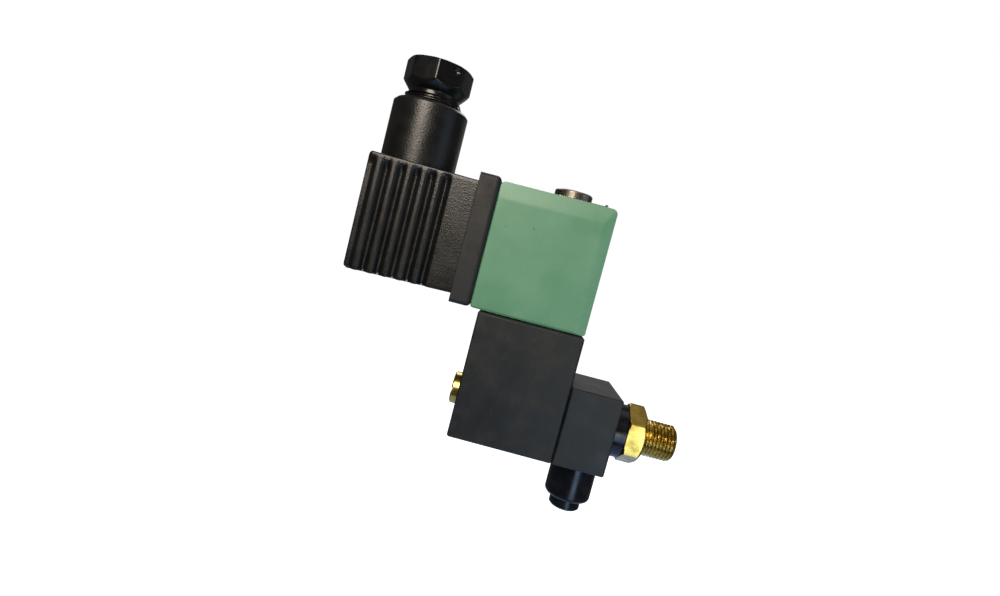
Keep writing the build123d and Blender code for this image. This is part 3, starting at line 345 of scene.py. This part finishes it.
def blackAcetal():
    # acetal, turned from rod or moulded: blue-black and glossy, slightly clouded
    material, tree, shader, place = startMaterial("blackAcetal", {"IOR": 1.48})
    haze = addNode(tree, "ShaderNodeTexNoise", "Fac", {
        "Vector": place, "Scale": perMetre(2.5), "Detail": 4.0})
    drift = addNode(tree, "ShaderNodeMapRange", 0, {"Value": haze, "From Min": 0.4, "From Max": 0.65})
    tone = addNode(tree, "ShaderNodeMix", 2, {
        0: drift, 6: linear("#080a10"), 7: linear("#0e121a")}, data_type="RGBA")
    shine = addNode(tree, "ShaderNodeMapRange", 0, {
        "Value": haze, "From Min": 0.35, "From Max": 0.7, "To Min": 0.2, "To Max": 0.32})
    bump = addNode(tree, "ShaderNodeBump", 0, {"Height": haze, "Strength": 0.1, "Distance": 0.00005})
    feedShader(tree, shader, tone, shine, bump)
    return material


def nitrileRubber():
    # nitrile rubber, compression moulded: dark grey and matt, with a dusty bloom in patches
    material, tree, shader, place = startMaterial("nitrileRubber", {"IOR": 1.52})
    bloom = addNode(tree, "ShaderNodeTexNoise", "Fac", {
        "Vector": place, "Scale": perMetre(4.0), "Detail": 6.0, "Roughness": 0.65})
    dust = addNode(tree, "ShaderNodeTexNoise", "Fac", {
        "Vector": place, "Scale": perMetre(0.3), "Detail": 2.0})
    drift = addNode(tree, "ShaderNodeMapRange", 0, {"Value": bloom, "From Min": 0.42, "From Max": 0.68})
    flecks = addNode(tree, "ShaderNodeMapRange", 0, {
        "Value": dust, "From Min": 0.72, "From Max": 0.8, "To Max": 0.4})
    tone = addNode(tree, "ShaderNodeMix", 2, {
        0: drift, 6: linear("#111213"), 7: linear("#191a1b")}, data_type="RGBA")
    dusty = addNode(tree, "ShaderNodeMix", 2, {0: flecks, 6: tone, 7: linear("#5a5a58")}, data_type="RGBA")
    shine = addNode(tree, "ShaderNodeMapRange", 0, {
        "Value": bloom, "From Min": 0.35, "From Max": 0.7, "To Min": 0.5, "To Max": 0.68})
    rounded = addNode(tree, "ShaderNodeBevel", 0, {"Radius": 0.0002}, samples=4)
    bump = addNode(tree, "ShaderNodeBump", 0, {
        "Height": dust, "Normal": rounded, "Strength": 0.2, "Distance": 0.00003})
    feedShader(tree, shader, dusty, shine, bump)
    return material


def greenEpoxy():
    # filled epoxy, transfer moulded round the coil: even grey-green with a satin skin, slight
    # cloudiness from the filler and a few dark specks
    material, tree, shader, place = startMaterial("greenEpoxy", {"IOR": 1.55})
    cloud = addNode(tree, "ShaderNodeTexNoise", "Fac", {
        "Vector": place, "Scale": perMetre(9.0), "Detail": 6.0, "Roughness": 0.6})
    grain = addNode(tree, "ShaderNodeTexNoise", "Fac", {
        "Vector": place, "Scale": perMetre(0.4), "Detail": 3.0})
    dots = addNode(tree, "ShaderNodeTexVoronoi", "Distance", {"Vector": place, "Scale": perMetre(7.0)})
    drift = addNode(tree, "ShaderNodeMapRange", 0, {"Value": cloud, "From Min": 0.35, "From Max": 0.68})
    filler = addNode(tree, "ShaderNodeMapRange", 0, {
        "Value": grain, "From Min": 0.55, "From Max": 0.75, "To Max": 0.25})
    specks = addNode(tree, "ShaderNodeMapRange", 0, {
        "Value": dots, "From Min": 0.035, "From Max": 0.02, "To Max": 0.75})
    tone = addNode(tree, "ShaderNodeMix", 2, {
        0: drift, 6: linear("#5d9473"), 7: linear("#679c7b")}, data_type="RGBA")
    filled = addNode(tree, "ShaderNodeMix", 2, {0: filler, 6: tone, 7: linear("#4f8261")}, data_type="RGBA")
    specked = addNode(tree, "ShaderNodeMix", 2, {
        0: specks, 6: filled, 7: linear("#27382c")}, data_type="RGBA")
    shine = addNode(tree, "ShaderNodeMapRange", 0, {
        "Value": cloud, "From Min": 0.35, "From Max": 0.7, "To Min": 0.34, "To Max": 0.46})
    bump = addNode(tree, "ShaderNodeBump", 0, {"Height": grain, "Strength": 0.16, "Distance": 0.00004})
    feedShader(tree, shader, specked, shine, bump)
    return material


def plainMetal(name, cleanColour, dullColour, roughLow, roughHigh, grainSize):
    # a metal whose tone and shine drift between clean and dull, over a fine grain of the given size
    material, tree, shader, place = startMaterial(name, {"Metallic": 1.0})
    film = addNode(tree, "ShaderNodeTexNoise", "Fac", {
        "Vector": place, "Scale": perMetre(2.0), "Detail": 5.0, "Roughness": 0.6})
    drift = addNode(tree, "ShaderNodeMapRange", 0, {"Value": film, "From Min": 0.35, "From Max": 0.68})
    tone = addNode(tree, "ShaderNodeMix", 2, {
        0: drift, 6: linear(cleanColour), 7: linear(dullColour)}, data_type="RGBA")
    shine = addNode(tree, "ShaderNodeMapRange", 0, {
        "Value": film, "From Min": 0.35, "From Max": 0.7, "To Min": roughLow, "To Max": roughHigh})
    grain = addNode(tree, "ShaderNodeTexNoise", "Fac", {
        "Vector": place, "Scale": perMetre(grainSize), "Detail": 2.0})
    bump = addNode(tree, "ShaderNodeBump", 0, {"Height": grain, "Strength": 0.15, "Distance": 0.00003})
    feedShader(tree, shader, tone, shine, bump)
    return material


def naturalNylon():
    # undyed nylon, moulded: milky white, slightly yellow, with light passing a little way in
    material, tree, shader, place = startMaterial("naturalNylon", {
        "IOR": 1.53, "Subsurface Weight": 0.15, "Subsurface Scale": 0.001})
    cloud = addNode(tree, "ShaderNodeTexNoise", "Fac", {
        "Vector": place, "Scale": perMetre(3.0), "Detail": 4.0})
    drift = addNode(tree, "ShaderNodeMapRange", 0, {"Value": cloud, "From Min": 0.35, "From Max": 0.65})
    tone = addNode(tree, "ShaderNodeMix", 2, {
        0: drift, 6: linear("#dedacb"), 7: linear("#cfc9b6")}, data_type="RGBA")
    shine = addNode(tree, "ShaderNodeMapRange", 0, {
        "Value": cloud, "From Min": 0.35, "From Max": 0.7, "To Min": 0.38, "To Max": 0.5})
    feedShader(tree, shader, tone, shine)
    return material


def enamelledCopper():
    # copper winding wire under clear enamel: red-brown bands, one for each 0.2 mm turn
    material, tree, shader, place = startMaterial("enamelledCopper", {
        "Metallic": 1.0, "Coat Weight": 0.6, "Coat Roughness": 0.15})
    turns = addNode(tree, "ShaderNodeTexWave", "Fac", {
        "Vector": place, "Scale": perMetre(0.2) * waveRepeat, "Distortion": 0.3}, bands_direction="Z")
    tone = addNode(tree, "ShaderNodeMix", 2, {
        0: turns, 6: linear("#6e2f18"), 7: linear("#b0613a")}, data_type="RGBA")
    shine = addNode(tree, "ShaderNodeMapRange", 0, {"Value": turns, "To Min": 0.45, "To Max": 0.28})
    bump = addNode(tree, "ShaderNodeBump", 0, {"Height": turns, "Strength": 0.5, "Distance": 0.00006})
    feedShader(tree, shader, tone, shine, bump)
    return material


brass = turnedBrass()
anodised = anodisedAluminium()
grained = grainedNylon()
gloss = glossNylon()
acetal = blackAcetal()
rubber = nitrileRubber()
epoxy = greenEpoxy()
nylon = naturalNylon()
copper = enamelledCopper()
# ferritic stainless, turned: cool grey with fairly tight highlights
stainless = plainMetal("turnedStainless", "#a39c90", "#6b6458", 0.26, 0.42, 0.12)
# hard-drawn spring steel, blanked: brighter and smoother
spring = plainMetal("springSteel", "#cfcdc8", "#9b9994", 0.16, 0.3, 0.2)
# mild steel, zinc plated and passivated: pale, slightly dull
zinc = plainMetal("zincPlatedSteel", "#c9ccce", "#a3a7a6", 0.28, 0.42, 0.25)
# tinned brass strip: soft white metal with a low shine
tin = plainMetal("tinnedBrass", "#d6d4cf", "#b3b0a8", 0.25, 0.4, 0.3)
print("finishes made")


# hexagon stub with its pipe thread, on the bolt's axis

stub = {
    "flats": 14.0,
    "hexLength": 3.9,
    "threadDia": 9.728,
    "threadPitch": 0.907,
    "threadDepth": 0.56,
    "threadChamfer": 0.8,
    "bore": 4.6,
    "tapDia": 6.0,
    "tapDepth": 7.0,
    "fineStep": 0.08,
}


def hexStub():
    # r(x, angle) is the smaller of the hexagon's edge and a turned outline with a cone at its end,
    # less a helical groove
    low, high = cadBox("hex_nipple")
    corner = stub["flats"] / 2 / math.cos(math.pi / 6)
    major, bore, tap = (stub[key] / 2 for key in ("threadDia", "bore", "tapDia"))
    tapEnd = low[0] + stub["tapDepth"]
    path = softPath([
        (low[0], corner - 0.5, 0.08, 0.5), (low[0] + 0.3, corner, 0.08, 0.3),
        (low[0] + stub["hexLength"], corner, 0.25, 0.12), (0, major, 0.1, stub["fineStep"]),
        (high[0] - stub["threadChamfer"], major, 0, stub["fineStep"]),
        (high[0], major - stub["threadChamfer"], 0.08, 0.4), (high[0], bore, 0.12, 0.8),
        (tapEnd, bore, 0, 0.4), (tapEnd, tap, 0, 0.8), (low[0], tap, 0.1, 0.8)])
    angle = np.arange(192) * fullTurn / 192
    along, radius = path[:, :1], path[:, 1:]
    outside = (radius > major - stub["threadChamfer"] - 0.01) & (along >= 0)
    drop = threadDrop(along, angle, stub["threadPitch"], stub["threadDepth"])
    runIn = smoothStep(along, 0, stub["threadPitch"])
    cut = np.where(outside, np.minimum(radius, major - drop * runIn), radius)
    shaped = softMin(cut, polygonRadius(angle, 6, stub["flats"], math.pi / 2), 0.06)
    rings = turnedRings(path[:, 0], shaped, angle, (0, 0, 0), "x")
    return makePiece("hex_stub_threaded", [closedShell(rings)], "pipe_stub", brass, ["hex_nipple"])


hexStub()


# gland nut: octagonal head over a threaded shank

nut = {
    "sides": 8,
    "cornerDia": 17.8,
    "firstCorner": -82.4,    # degrees from +X
    "coneHeight": 2.4,
    "neckDia": 13.6,          # relief between the cone and the first thread
    "neckLength": 0.9,
    "shankLength": 7.2,
    "shankDia": 15.2,
    "threadPitch": 1.41,
    "threadDepth": 0.5,
    "bore": 8.5,
    "mouthChamfer": 0.6,
    "dimpleDia": 1.7,
    "dimpleDepth": 0.5,
    "dimpleBelowTop": 1.7,
    "dimpleAngle": -50.0,
    "edge": 0.1,
}


def glandNut():
    # r(z, angle) is the smaller of the octagon's edge and a turned outline, less the thread and the dimple
    low, high = cadBox("gland_nut")
    centre = (cadBox("gland_washer")[0] + cadBox("gland_washer")[1]) / 2
    corner, shank, bore = (nut[key] / 2 for key in ("cornerDia", "shankDia", "bore"))
    neck, relief = low[2] + nut["shankLength"], nut["neckDia"] / 2
    threadTop = neck - nut["neckLength"]
    path = softPath([
        (low[2], shank - 0.6, 0.1, 0.3), (low[2] + 0.5, shank, 0, 0.11), (threadTop - 0.3, shank, 0, 0.2),
        (threadTop, relief, 0.08, 0.3), (neck, relief, 0.15, 0.2),
        (neck + nut["coneHeight"], corner, 0.2, 0.16), (high[2] - 0.3, corner, 0.12, 0.2),
        (high[2], corner - 0.55, 0.12, 0.4), (high[2], bore + nut["mouthChamfer"], 0.1, 0.3),
        (high[2] - nut["mouthChamfer"], bore, 0.1, 0.6), (low[2], bore, 0.1, 0.6)])
    angle = np.arange(336) * fullTurn / 336
    along, radius = path[:, :1], path[:, 1:]
    flats = nut["cornerDia"] * math.cos(math.pi / nut["sides"])
    drop = threadDrop(along, angle, nut["threadPitch"], nut["threadDepth"])
    onShank = (along < threadTop - 0.2) & (radius > bore + 0.5)
    cut = np.where(onShank, np.minimum(radius, shank - drop), radius)
    octagon = polygonRadius(angle, nut["sides"], flats, math.radians(nut["firstCorner"]))
    shaped = softMin(cut, octagon, nut["edge"])
    sideways = (np.mod(angle - math.radians(nut["dimpleAngle"]) + math.pi, fullTurn) - math.pi) * corner
    away = np.hypot(sideways, along - (high[2] - nut["dimpleBelowTop"])) / (nut["dimpleDia"] / 2)
    onFace = radius > bore + 3
    shaped = shaped - np.where(onFace, nut["dimpleDepth"] * np.sqrt(np.clip(1 - away ** 2, 0, 1)), 0)
    rings = turnedRings(path[:, 0], shaped, angle, centre, "z")
    return makePiece("gland_nut_octagonal", [closedShell(rings)], "gland_nut_body", gloss,
                     ["gland_nut"])


glandNut()


# connector housing: ribbed box, open towards the coil, with the gland tube on top

housing = {
    "draft": 0.6,             # each long edge lower at the gasket end
    "wall": 2.4,
    "depth": 22.2,
    "height": 29.7,
    "backEdge": 1.1,
    "corner": 0.45,
    "ribCount": 5,
    "ribPitch": 3.8,
    "ribFirst": 5.0,          # first groove from the back
    "grooveDepth": 1.3,
    "grooveFloor": 0.1,       # half width of its flat floor
    "grooveHalf": 1.5,        # half width at its mouth
    "backStep": 0.6,          # share of the depth by which the back end is set in
    "scallop": 0.6,           # how far a groove bites into the lower edge
    "topLand": 1.2,           # plain strip above the grooves
    "grooveEnd": 1.3,         # length over which a groove runs out
    "cavityCorner": 1.0,
    "screwHoleDia": 3.4,
    "headHoleDia": 5.8,
    "headHoleDepth": 4.8,
    "bossDia": 8.4,
    "bossLength": 6.4,
    "step": 0.22,
}
glandTube = {
    "dia": 19.8,
    "rim": 0.8,
    "threadDia": 15.4,
    "threadPitch": 1.41,
    "threadDepth": 0.45,
    "threadLength": 7.2,
    "seatDia": 13.8,
    "wireHoleDia": 10.0,
}


def housingShell():
    # rings across the bolt's direction: a rounded rectangle for the skin and the cavity, a circle for
    # the boss and screw hole; y is pulled in by a periodic groove of x that fades out near the top
    low, high = cadBox("connector_housing")
    gasketLow, gasketHigh = cadBox("connector_gasket")
    back, front, middle = low[0], gasketLow[0], (gasketLow[2] + gasketHigh[2]) / 2
    halfDeep, halfTall, wall = housing["depth"] / 2, housing["height"] / 2, housing["wall"]
    edge, step = housing["backEdge"], housing["step"]
    slide, lean = outlineTable(40, 64, 5)
    direction = np.arctan2(slide[:, 1] * halfTall, slide[:, 0] * halfDeep)

    # stations: x, half depth, half height, corner radius, how far the ring is a circle
    stations = []

    def station(x, deep, tall, corner, circle):
        x = np.atleast_1d(np.asarray(x, float))
        shape = np.broadcast_to(np.stack(np.broadcast_arrays(
            x, *(np.asarray(v, float) for v in (deep, tall, corner, circle))), -1), (len(x), 5))
        stations.append(shape)

    head, hole = housing["headHoleDia"] / 2, housing["screwHoleDia"] / 2
    headFloor = back + housing["headHoleDepth"]
    station(headFloor, head, head, head, 1)
    station(back + 0.3, head, head, head, 1)
    station(back, head + 0.3, head + 0.3, head + 0.3, 1)
    turn = np.linspace(0, math.pi / 2, 7)
    pulled = edge * (1 - np.sin(turn))
    taper = housing["draft"] / (front - back)
    station(back + edge * (1 - np.cos(turn)), halfDeep - pulled, halfTall - pulled, housing["corner"], 0)
    side = np.arange(back + edge + step, front - 0.12, step)
    station(side, halfDeep, halfTall - (side - back) * taper, housing["corner"], 0)
    endTall = halfTall - housing["draft"]
    station(front - 0.1, halfDeep, endTall, housing["corner"], 0)
    station(front, halfDeep - 0.1, endTall - 0.1, housing["corner"], 0)
    insideDeep, insideTall = halfDeep - wall, endTall - wall
    station(front, insideDeep, insideTall, housing["cavityCorner"], 0)
    station(back + wall, insideDeep, insideTall, housing["cavityCorner"], 0)
    boss = housing["bossDia"] / 2
    station(back + wall, boss, boss, boss, 1)
    station(back + housing["bossLength"], boss, boss, boss, 1)
    station(back + housing["bossLength"], hole, hole, hole, 1)
    station(headFloor, hole, hole, hole, 1)
    table = np.concatenate(stations)
    x, deep, tall, corner, circle = (table[:, k:k + 1] for k in range(5))

    flatY = slide[:, 0] * (deep - corner) + lean[:, 0] * corner
    flatZ = slide[:, 1] * (tall - corner) + lean[:, 1] * corner
    y = np.where(circle > 0.5, deep * np.cos(direction), flatY)
    z = np.where(circle > 0.5, deep * np.sin(direction), flatZ)
    fromFirst = x - back - housing["ribFirst"]
    nearest = np.clip(np.round(fromFirst / housing["ribPitch"]), -1, housing["ribCount"] - 1)
    away = np.abs(fromFirst - nearest * housing["ribPitch"])
    groove = 1 - smoothStep(away, housing["grooveFloor"], housing["grooveHalf"])
    groove = np.where(nearest < 0, groove * housing["backStep"], groove)
    fadeTop = halfTall - housing["topLand"]
    fade = 1 - smoothStep(z, fadeTop - housing["grooveEnd"], fadeTop)
    onSkin = smoothStep(np.abs(y), halfDeep - 1.6, halfDeep - 0.3)
    z = z + housing["scallop"] * groove * onSkin * smoothStep(-z, tall - 1.5, tall)
    y = y - np.sign(y) * housing["grooveDepth"] * groove * fade * onSkin
    return closedShell(np.stack([np.broadcast_to(x, y.shape), y, middle + z], -1))


def tubeShell():
    # a turned outline round the gland's axis, with a helical groove in its upper bore
    centre = (cadBox("gland_washer")[0] + cadBox("gland_washer")[1]) / 2
    top = cadBox("connector_housing")[1][2]
    roof = (cadBox("connector_gasket")[0][2] + cadBox("connector_gasket")[1][2]) / 2 + housing["height"] / 2
    floor = cadBox("gland_grommet")[0][2]
    outer, thread, seat, wire = (glandTube[key] / 2 for key in ("dia", "threadDia", "seatDia", "wireHoleDia"))
    threadEnd = top - glandTube["threadLength"]
    path = softPath([
        (roof - 2.0, outer, 0, 1.0), (top - glandTube["rim"], outer, 0.12, 0.2),
        (top, outer - glandTube["rim"], 0.12, 0.4), (top, thread, 0.1, 0.11), (threadEnd, thread, 0, 0.3),
        (threadEnd, seat, 0, 0.5), (floor, seat, 0, 0.5), (floor, wire, 0, 1.0), (roof - 2.0, wire, 0, 1.0)])
    angle = np.arange(160) * fullTurn / 160
    along, radius = path[:, :1], path[:, 1:]
    inBore = (np.abs(radius - thread) < 0.01) & (along > threadEnd + 0.2)
    drop = threadDrop(along, angle, glandTube["threadPitch"], glandTube["threadDepth"])
    shaped = radius + np.where(inBore, drop, 0)
    return closedShell(turnedRings(path[:, 0], shaped, angle, centre, "z"))


makePiece("connector_housing_ribbed", [housingShell(), tubeShell()], "connector", grained,
          ["connector_housing"])


# coil casing: moulded block with long bevels along the top and the free end

casing = {
    "depth": 21.4,
    "edge": 1.3,              # rounding of the top corners, seen from the front
    "bottomEdge": 0.65,
    "corner": 0.55,           # rounding of the upright edges
    "bevelHeight": 4.2,
    "bevelLength": 2.7,
    "bevelDepth": 0.5,
    "boreDia": 10.2,
    "boreEase": 0.3,
    "step": 0.3,
}


def coilCasing():
    # rings at rising heights: a rounded rectangle whose y is held inside two bevel planes, with the
    # ends drawn in along a quarter circle at the top; the bore is a circle round the core's axis
    low, high = cadBox("coil_casing")
    coreX = (cadBox("fixed_core")[0][0] + cadBox("fixed_core")[1][0]) / 2
    middle, halfLong = (low[0] + high[0]) / 2, (high[0] - low[0]) / 2
    halfDeep, edge, bottomEdge = casing["depth"] / 2, casing["edge"], casing["bottomEdge"]
    bore, step = casing["boreDia"] / 2, casing["step"]
    slide, lean = outlineTable(96, 64, 7)
    direction = np.arctan2(slide[:, 1] * halfDeep, slide[:, 0] * halfLong + middle - coreX)

    turn = np.linspace(0, math.pi / 2, 10)
    lower = low[2] + bottomEdge * (1 - np.cos(turn))
    side = np.arange(low[2] + bottomEdge + step, high[2] - edge, step)
    upper = high[2] - edge + edge * np.sin(turn)
    z = np.concatenate([lower, side, upper])[:, None]
    drawnIn = np.concatenate([bottomEdge * (1 - np.sin(turn)), 0 * side, edge * (1 - np.cos(turn))])[:, None]
    softEdge = np.minimum(drawnIn, 0.3)
    corner = casing["corner"]
    x = middle + slide[:, 0] * (halfLong - drawnIn - corner) + lean[:, 0] * corner
    y = slide[:, 1] * (halfDeep - softEdge - corner) + lean[:, 1] * corner
    fromTop = np.clip((z - high[2]) / casing["bevelHeight"] + 1, 0, 1)
    fromEnd = np.clip((x - high[0]) / casing["bevelLength"] + 1, 0, 1)
    limit = halfDeep - casing["bevelDepth"] * np.maximum(fromTop, fromEnd)
    y = np.sign(y) * softMin(np.abs(y), limit, 0.05)
    skin = np.stack([x, y, np.broadcast_to(z, x.shape)], -1)

    def boreRing(radius, height):
        around = np.stack([coreX + radius * np.cos(direction), radius * np.sin(direction),
                           np.full(len(direction), height)], -1)
        return around[None]

    ease = casing["boreEase"]
    rings = np.concatenate([
        boreRing(bore, low[2] + ease), boreRing(bore + ease, low[2]), skin,
        boreRing(bore + ease, high[2]), boreRing(bore, high[2] - ease)])
    return makePiece("coil_casing_moulded", [closedShell(rings)], "coil", epoxy,
                     ["coil_casing"], sharpAngle=50)


coilCasing()


# return spring, wound round the plunger's foot

springWire = {
    "dia": 0.5,
    "turns": 3.2,
    "travel": 0.8,            # how far the plunger shortens it
}


def returnSpring():
    # a circle carried along a helix: its centre turns and rises with t, and the first and last
    # circles shrink to a point
    low, high = cadBox("core_spring")
    centre = (low + high) / 2
    wire = springWire["dia"] / 2
    coilRadius = (high[1] - low[1]) / 2 - wire
    t = np.concatenate([[0], np.linspace(0, 1, 180), [1]])[:, None]
    size = np.where((np.arange(len(t)) == 0) | (np.arange(len(t)) == len(t) - 1), 0, wire)[:, None]
    turned = fullTurn * springWire["turns"] * t
    around = np.arange(12) * fullTurn / 12
    reach = coilRadius + size * np.cos(around)
    height = low[2] + wire + (high[2] - low[2] - 2 * wire) * t + size * np.sin(around)
    rings = np.stack([centre[0] + reach * np.cos(turned), centre[1] + reach * np.sin(turned), height], -1)
    piece = makePiece("core_spring_wound", [cappedShell(rings)], "valve_group", spring,
                      ["core_spring"], merge=True)
    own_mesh(piece)


returnSpring()
print("new pieces made")


# finishes of the CAD pieces

finishOf = {
    "spacer_ring": acetal, "banjo_bolt": brass, "inlet_block": anodised, "block_oring": rubber,
    "push_in_sleeve": acetal, "grip_ring": stainless, "backing_ring": nylon, "tube_oring": rubber,
    "release_collet": acetal, "valve_body": anodised, "body_orings": rubber, "face_seal": rubber,
    "seat_insert": brass, "core_tube": stainless, "ring_nut": zinc, "tube_base_oring": rubber,
    "fixed_core": stainless, "shading_ring": copper, "retaining_clip": spring, "core_spring": spring,
    "moving_core": stainless, "seat_disc": rubber, "exhaust_disc": rubber, "bobbin": nylon,
    "coil_winding": copper, "magnet_yoke": zinc, "power_blades": tin, "earth_blade": tin,
    "screw_insert": brass, "connector_gasket": rubber, "contact_carrier": gloss, "contact_clips": tin,
    "terminal_screws": zinc, "screw_seal": rubber, "gland_grommet": rubber, "connector_screw": zinc,
    "gland_washer": nylon, "hex_nipple": brass, "connector_housing": grained, "coil_casing": epoxy,
    "gland_nut": gloss,
}
for name, finish in finishOf.items():
    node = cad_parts[name]
    if not node.material_slots:
        node.data.materials.append(finish)
    for materialSlot in node.material_slots:
        materialSlot.material = finish
print("finishes given to", len(finishOf), "nodes")


# floor, lights and camera

studio = {
    "floorDrop": 60.0,        # below the lowest point, in millimetres: the valve is held by its thread
    "floorSize": 3.0,         # metres, from the middle
    "floorColour": "#f3f3f1",
    "floorGlow": 1.0,         # light of its own, so that it stays pale far from the lamps
    "surround": 0.07,         # light that comes from all round
}
lights = {
    # name: place and aim in millimetres, width in millimetres, watts, colour
    "keyFromFront": ((-125, -310, 190), (-45, 0, 15), 180, 1.05, "#fff3e2"),
    "frontCard": ((70, -280, -30), (-10, 0, 0), 90, 0.08, "#eef5ee"),
    "lowCard": ((75, -265, -120), (-15, 0, -15), 110, 0.1, "#b4d4ff"),
    "fillFromRight": ((330, -120, 40), (-20, 0, 10), 280, 0.14, "#cfe4ff"),
    "topSoft": ((-40, 20, 420), (-40, 0, 30), 360, 0.2, "#fff6ea"),
    "backPanel": ((60, 400, 130), (-30, 0, 20), 320, 0.06, "#f6f4e8"),
    "backFill": ((-90, 300, 330), (-30, 0, 20), 260, 0.55, "#f4f6ff"),
    "lightTable": ((0, 60, -230), (0, 0, -5), 600, 0.62, "#a9c8ff"),
}
cameraView = {
    "place": (-43.02, -147.25, 37.00),    # millimetres
    "azimuth": 1.338,                     # degrees, 0 looks along +Y
    "elevation": 4.121,                   # degrees, looking down
    "roll": 14.531,                       # degrees, the frame turned against the valve
    "lens": 19.924,                       # millimetres on a 36 mm sensor
}


def floorDisc():
    # a level grid of circles whose radius grows with the square of their number, its middle closed
    circles, spokes = 12, 48
    radius = np.linspace(0.02, 1, circles) ** 2 * studio["floorSize"]
    angle = np.arange(spokes) * fullTurn / spokes
    x, y = radius[:, None] * np.cos(angle), radius[:, None] * np.sin(angle)
    z = np.full(x.shape, cadLow[2] - studio["floorDrop"] / mmPerMetre)
    points = np.stack([x, y, z], -1).reshape(-1, 3)
    row, column = np.meshgrid(np.arange(circles - 1), np.arange(spokes), indexing="ij")
    beside, outer = (column + 1) % spokes, (row + 1) * spokes
    faces = np.stack([outer + column, outer + beside, row * spokes + beside, row * spokes + column], -1)
    mesh = bpy.data.meshes.new("studio_floor")
    mesh.from_pydata(points.tolist(), [], faces.reshape(-1, 4).tolist() + [list(range(spokes))])
    floor = bpy.data.objects.new("studio_floor", mesh)
    bpy.context.scene.collection.objects.link(floor)
    material = startMaterial("paleFloor", {
        "Base Color": linear(studio["floorColour"]), "Roughness": 0.9,
        "Emission Strength": studio["floorGlow"], "Emission Color": linear("#ffffff")})[0]
    mesh.materials.append(material)
    floor.visible_diffuse = False    # its glow stays off the valve, and the light table
    floor.visible_glossy = False     # under it shines through
    floor.visible_shadow = False


def studioLights():
    # the world shows the camera the floor's brightness and gives the valve only a little light;
    # round soft lamps do the rest, each turned to its aim
    world = bpy.data.worlds.new("studio")
    bpy.context.scene.world = world
    world.use_nodes = True
    tree = world.node_tree
    seen = addNode(tree, "ShaderNodeLightPath", "Is Camera Ray")
    strength = addNode(tree, "ShaderNodeMapRange", 0, {
        "Value": seen, "To Min": studio["surround"], "To Max": studio["floorGlow"]})
    tree.nodes["Background"].inputs["Color"].default_value = linear("#ffffff")
    tree.links.new(strength, tree.nodes["Background"].inputs["Strength"])
    for name, (place, aim, width, watts, colour) in lights.items():
        lamp = bpy.data.lights.new(name, "AREA")
        lamp.shape = "DISK"
        lamp.size = width / mmPerMetre
        lamp.energy = watts
        lamp.color = linear(colour)[:3]
        holder = bpy.data.objects.new(name, lamp)
        holder.location = Vector(place) / mmPerMetre
        holder.rotation_euler = (Vector(aim) - Vector(place)).to_track_quat("-Z", "Y").to_euler()
        bpy.context.scene.collection.objects.link(holder)


def studioCamera():
    # the way it looks comes from azimuth and elevation, and roll turns the frame about that way
    azimuth, elevation, roll = (math.radians(cameraView[key]) for key in ("azimuth", "elevation", "roll"))
    forward = Vector((-math.sin(azimuth) * math.cos(elevation), math.cos(azimuth) * math.cos(elevation),
                      -math.sin(elevation)))
    level = forward.cross(Vector((0, 0, 1))).normalized()
    upright = level.cross(forward)
    right = level * math.cos(roll) + upright * math.sin(roll)
    up = upright * math.cos(roll) - level * math.sin(roll)
    data = bpy.data.cameras.new("studioCamera")
    data.lens = cameraView["lens"]
    data.sensor_width = 36.0
    data.clip_start = 0.005
    camera = bpy.data.objects.new("studioCamera", data)
    turned = Matrix((right, up, -forward)).transposed().to_4x4()
    camera.matrix_world = Matrix.Translation(Vector(cameraView["place"]) / mmPerMetre) @ turned
    bpy.context.scene.collection.objects.link(camera)
    bpy.context.scene.camera = camera


floorDisc()
studioLights()
studioCamera()
bpy.context.scene.view_settings.view_transform = "Standard"
print("floor, lights and camera made")
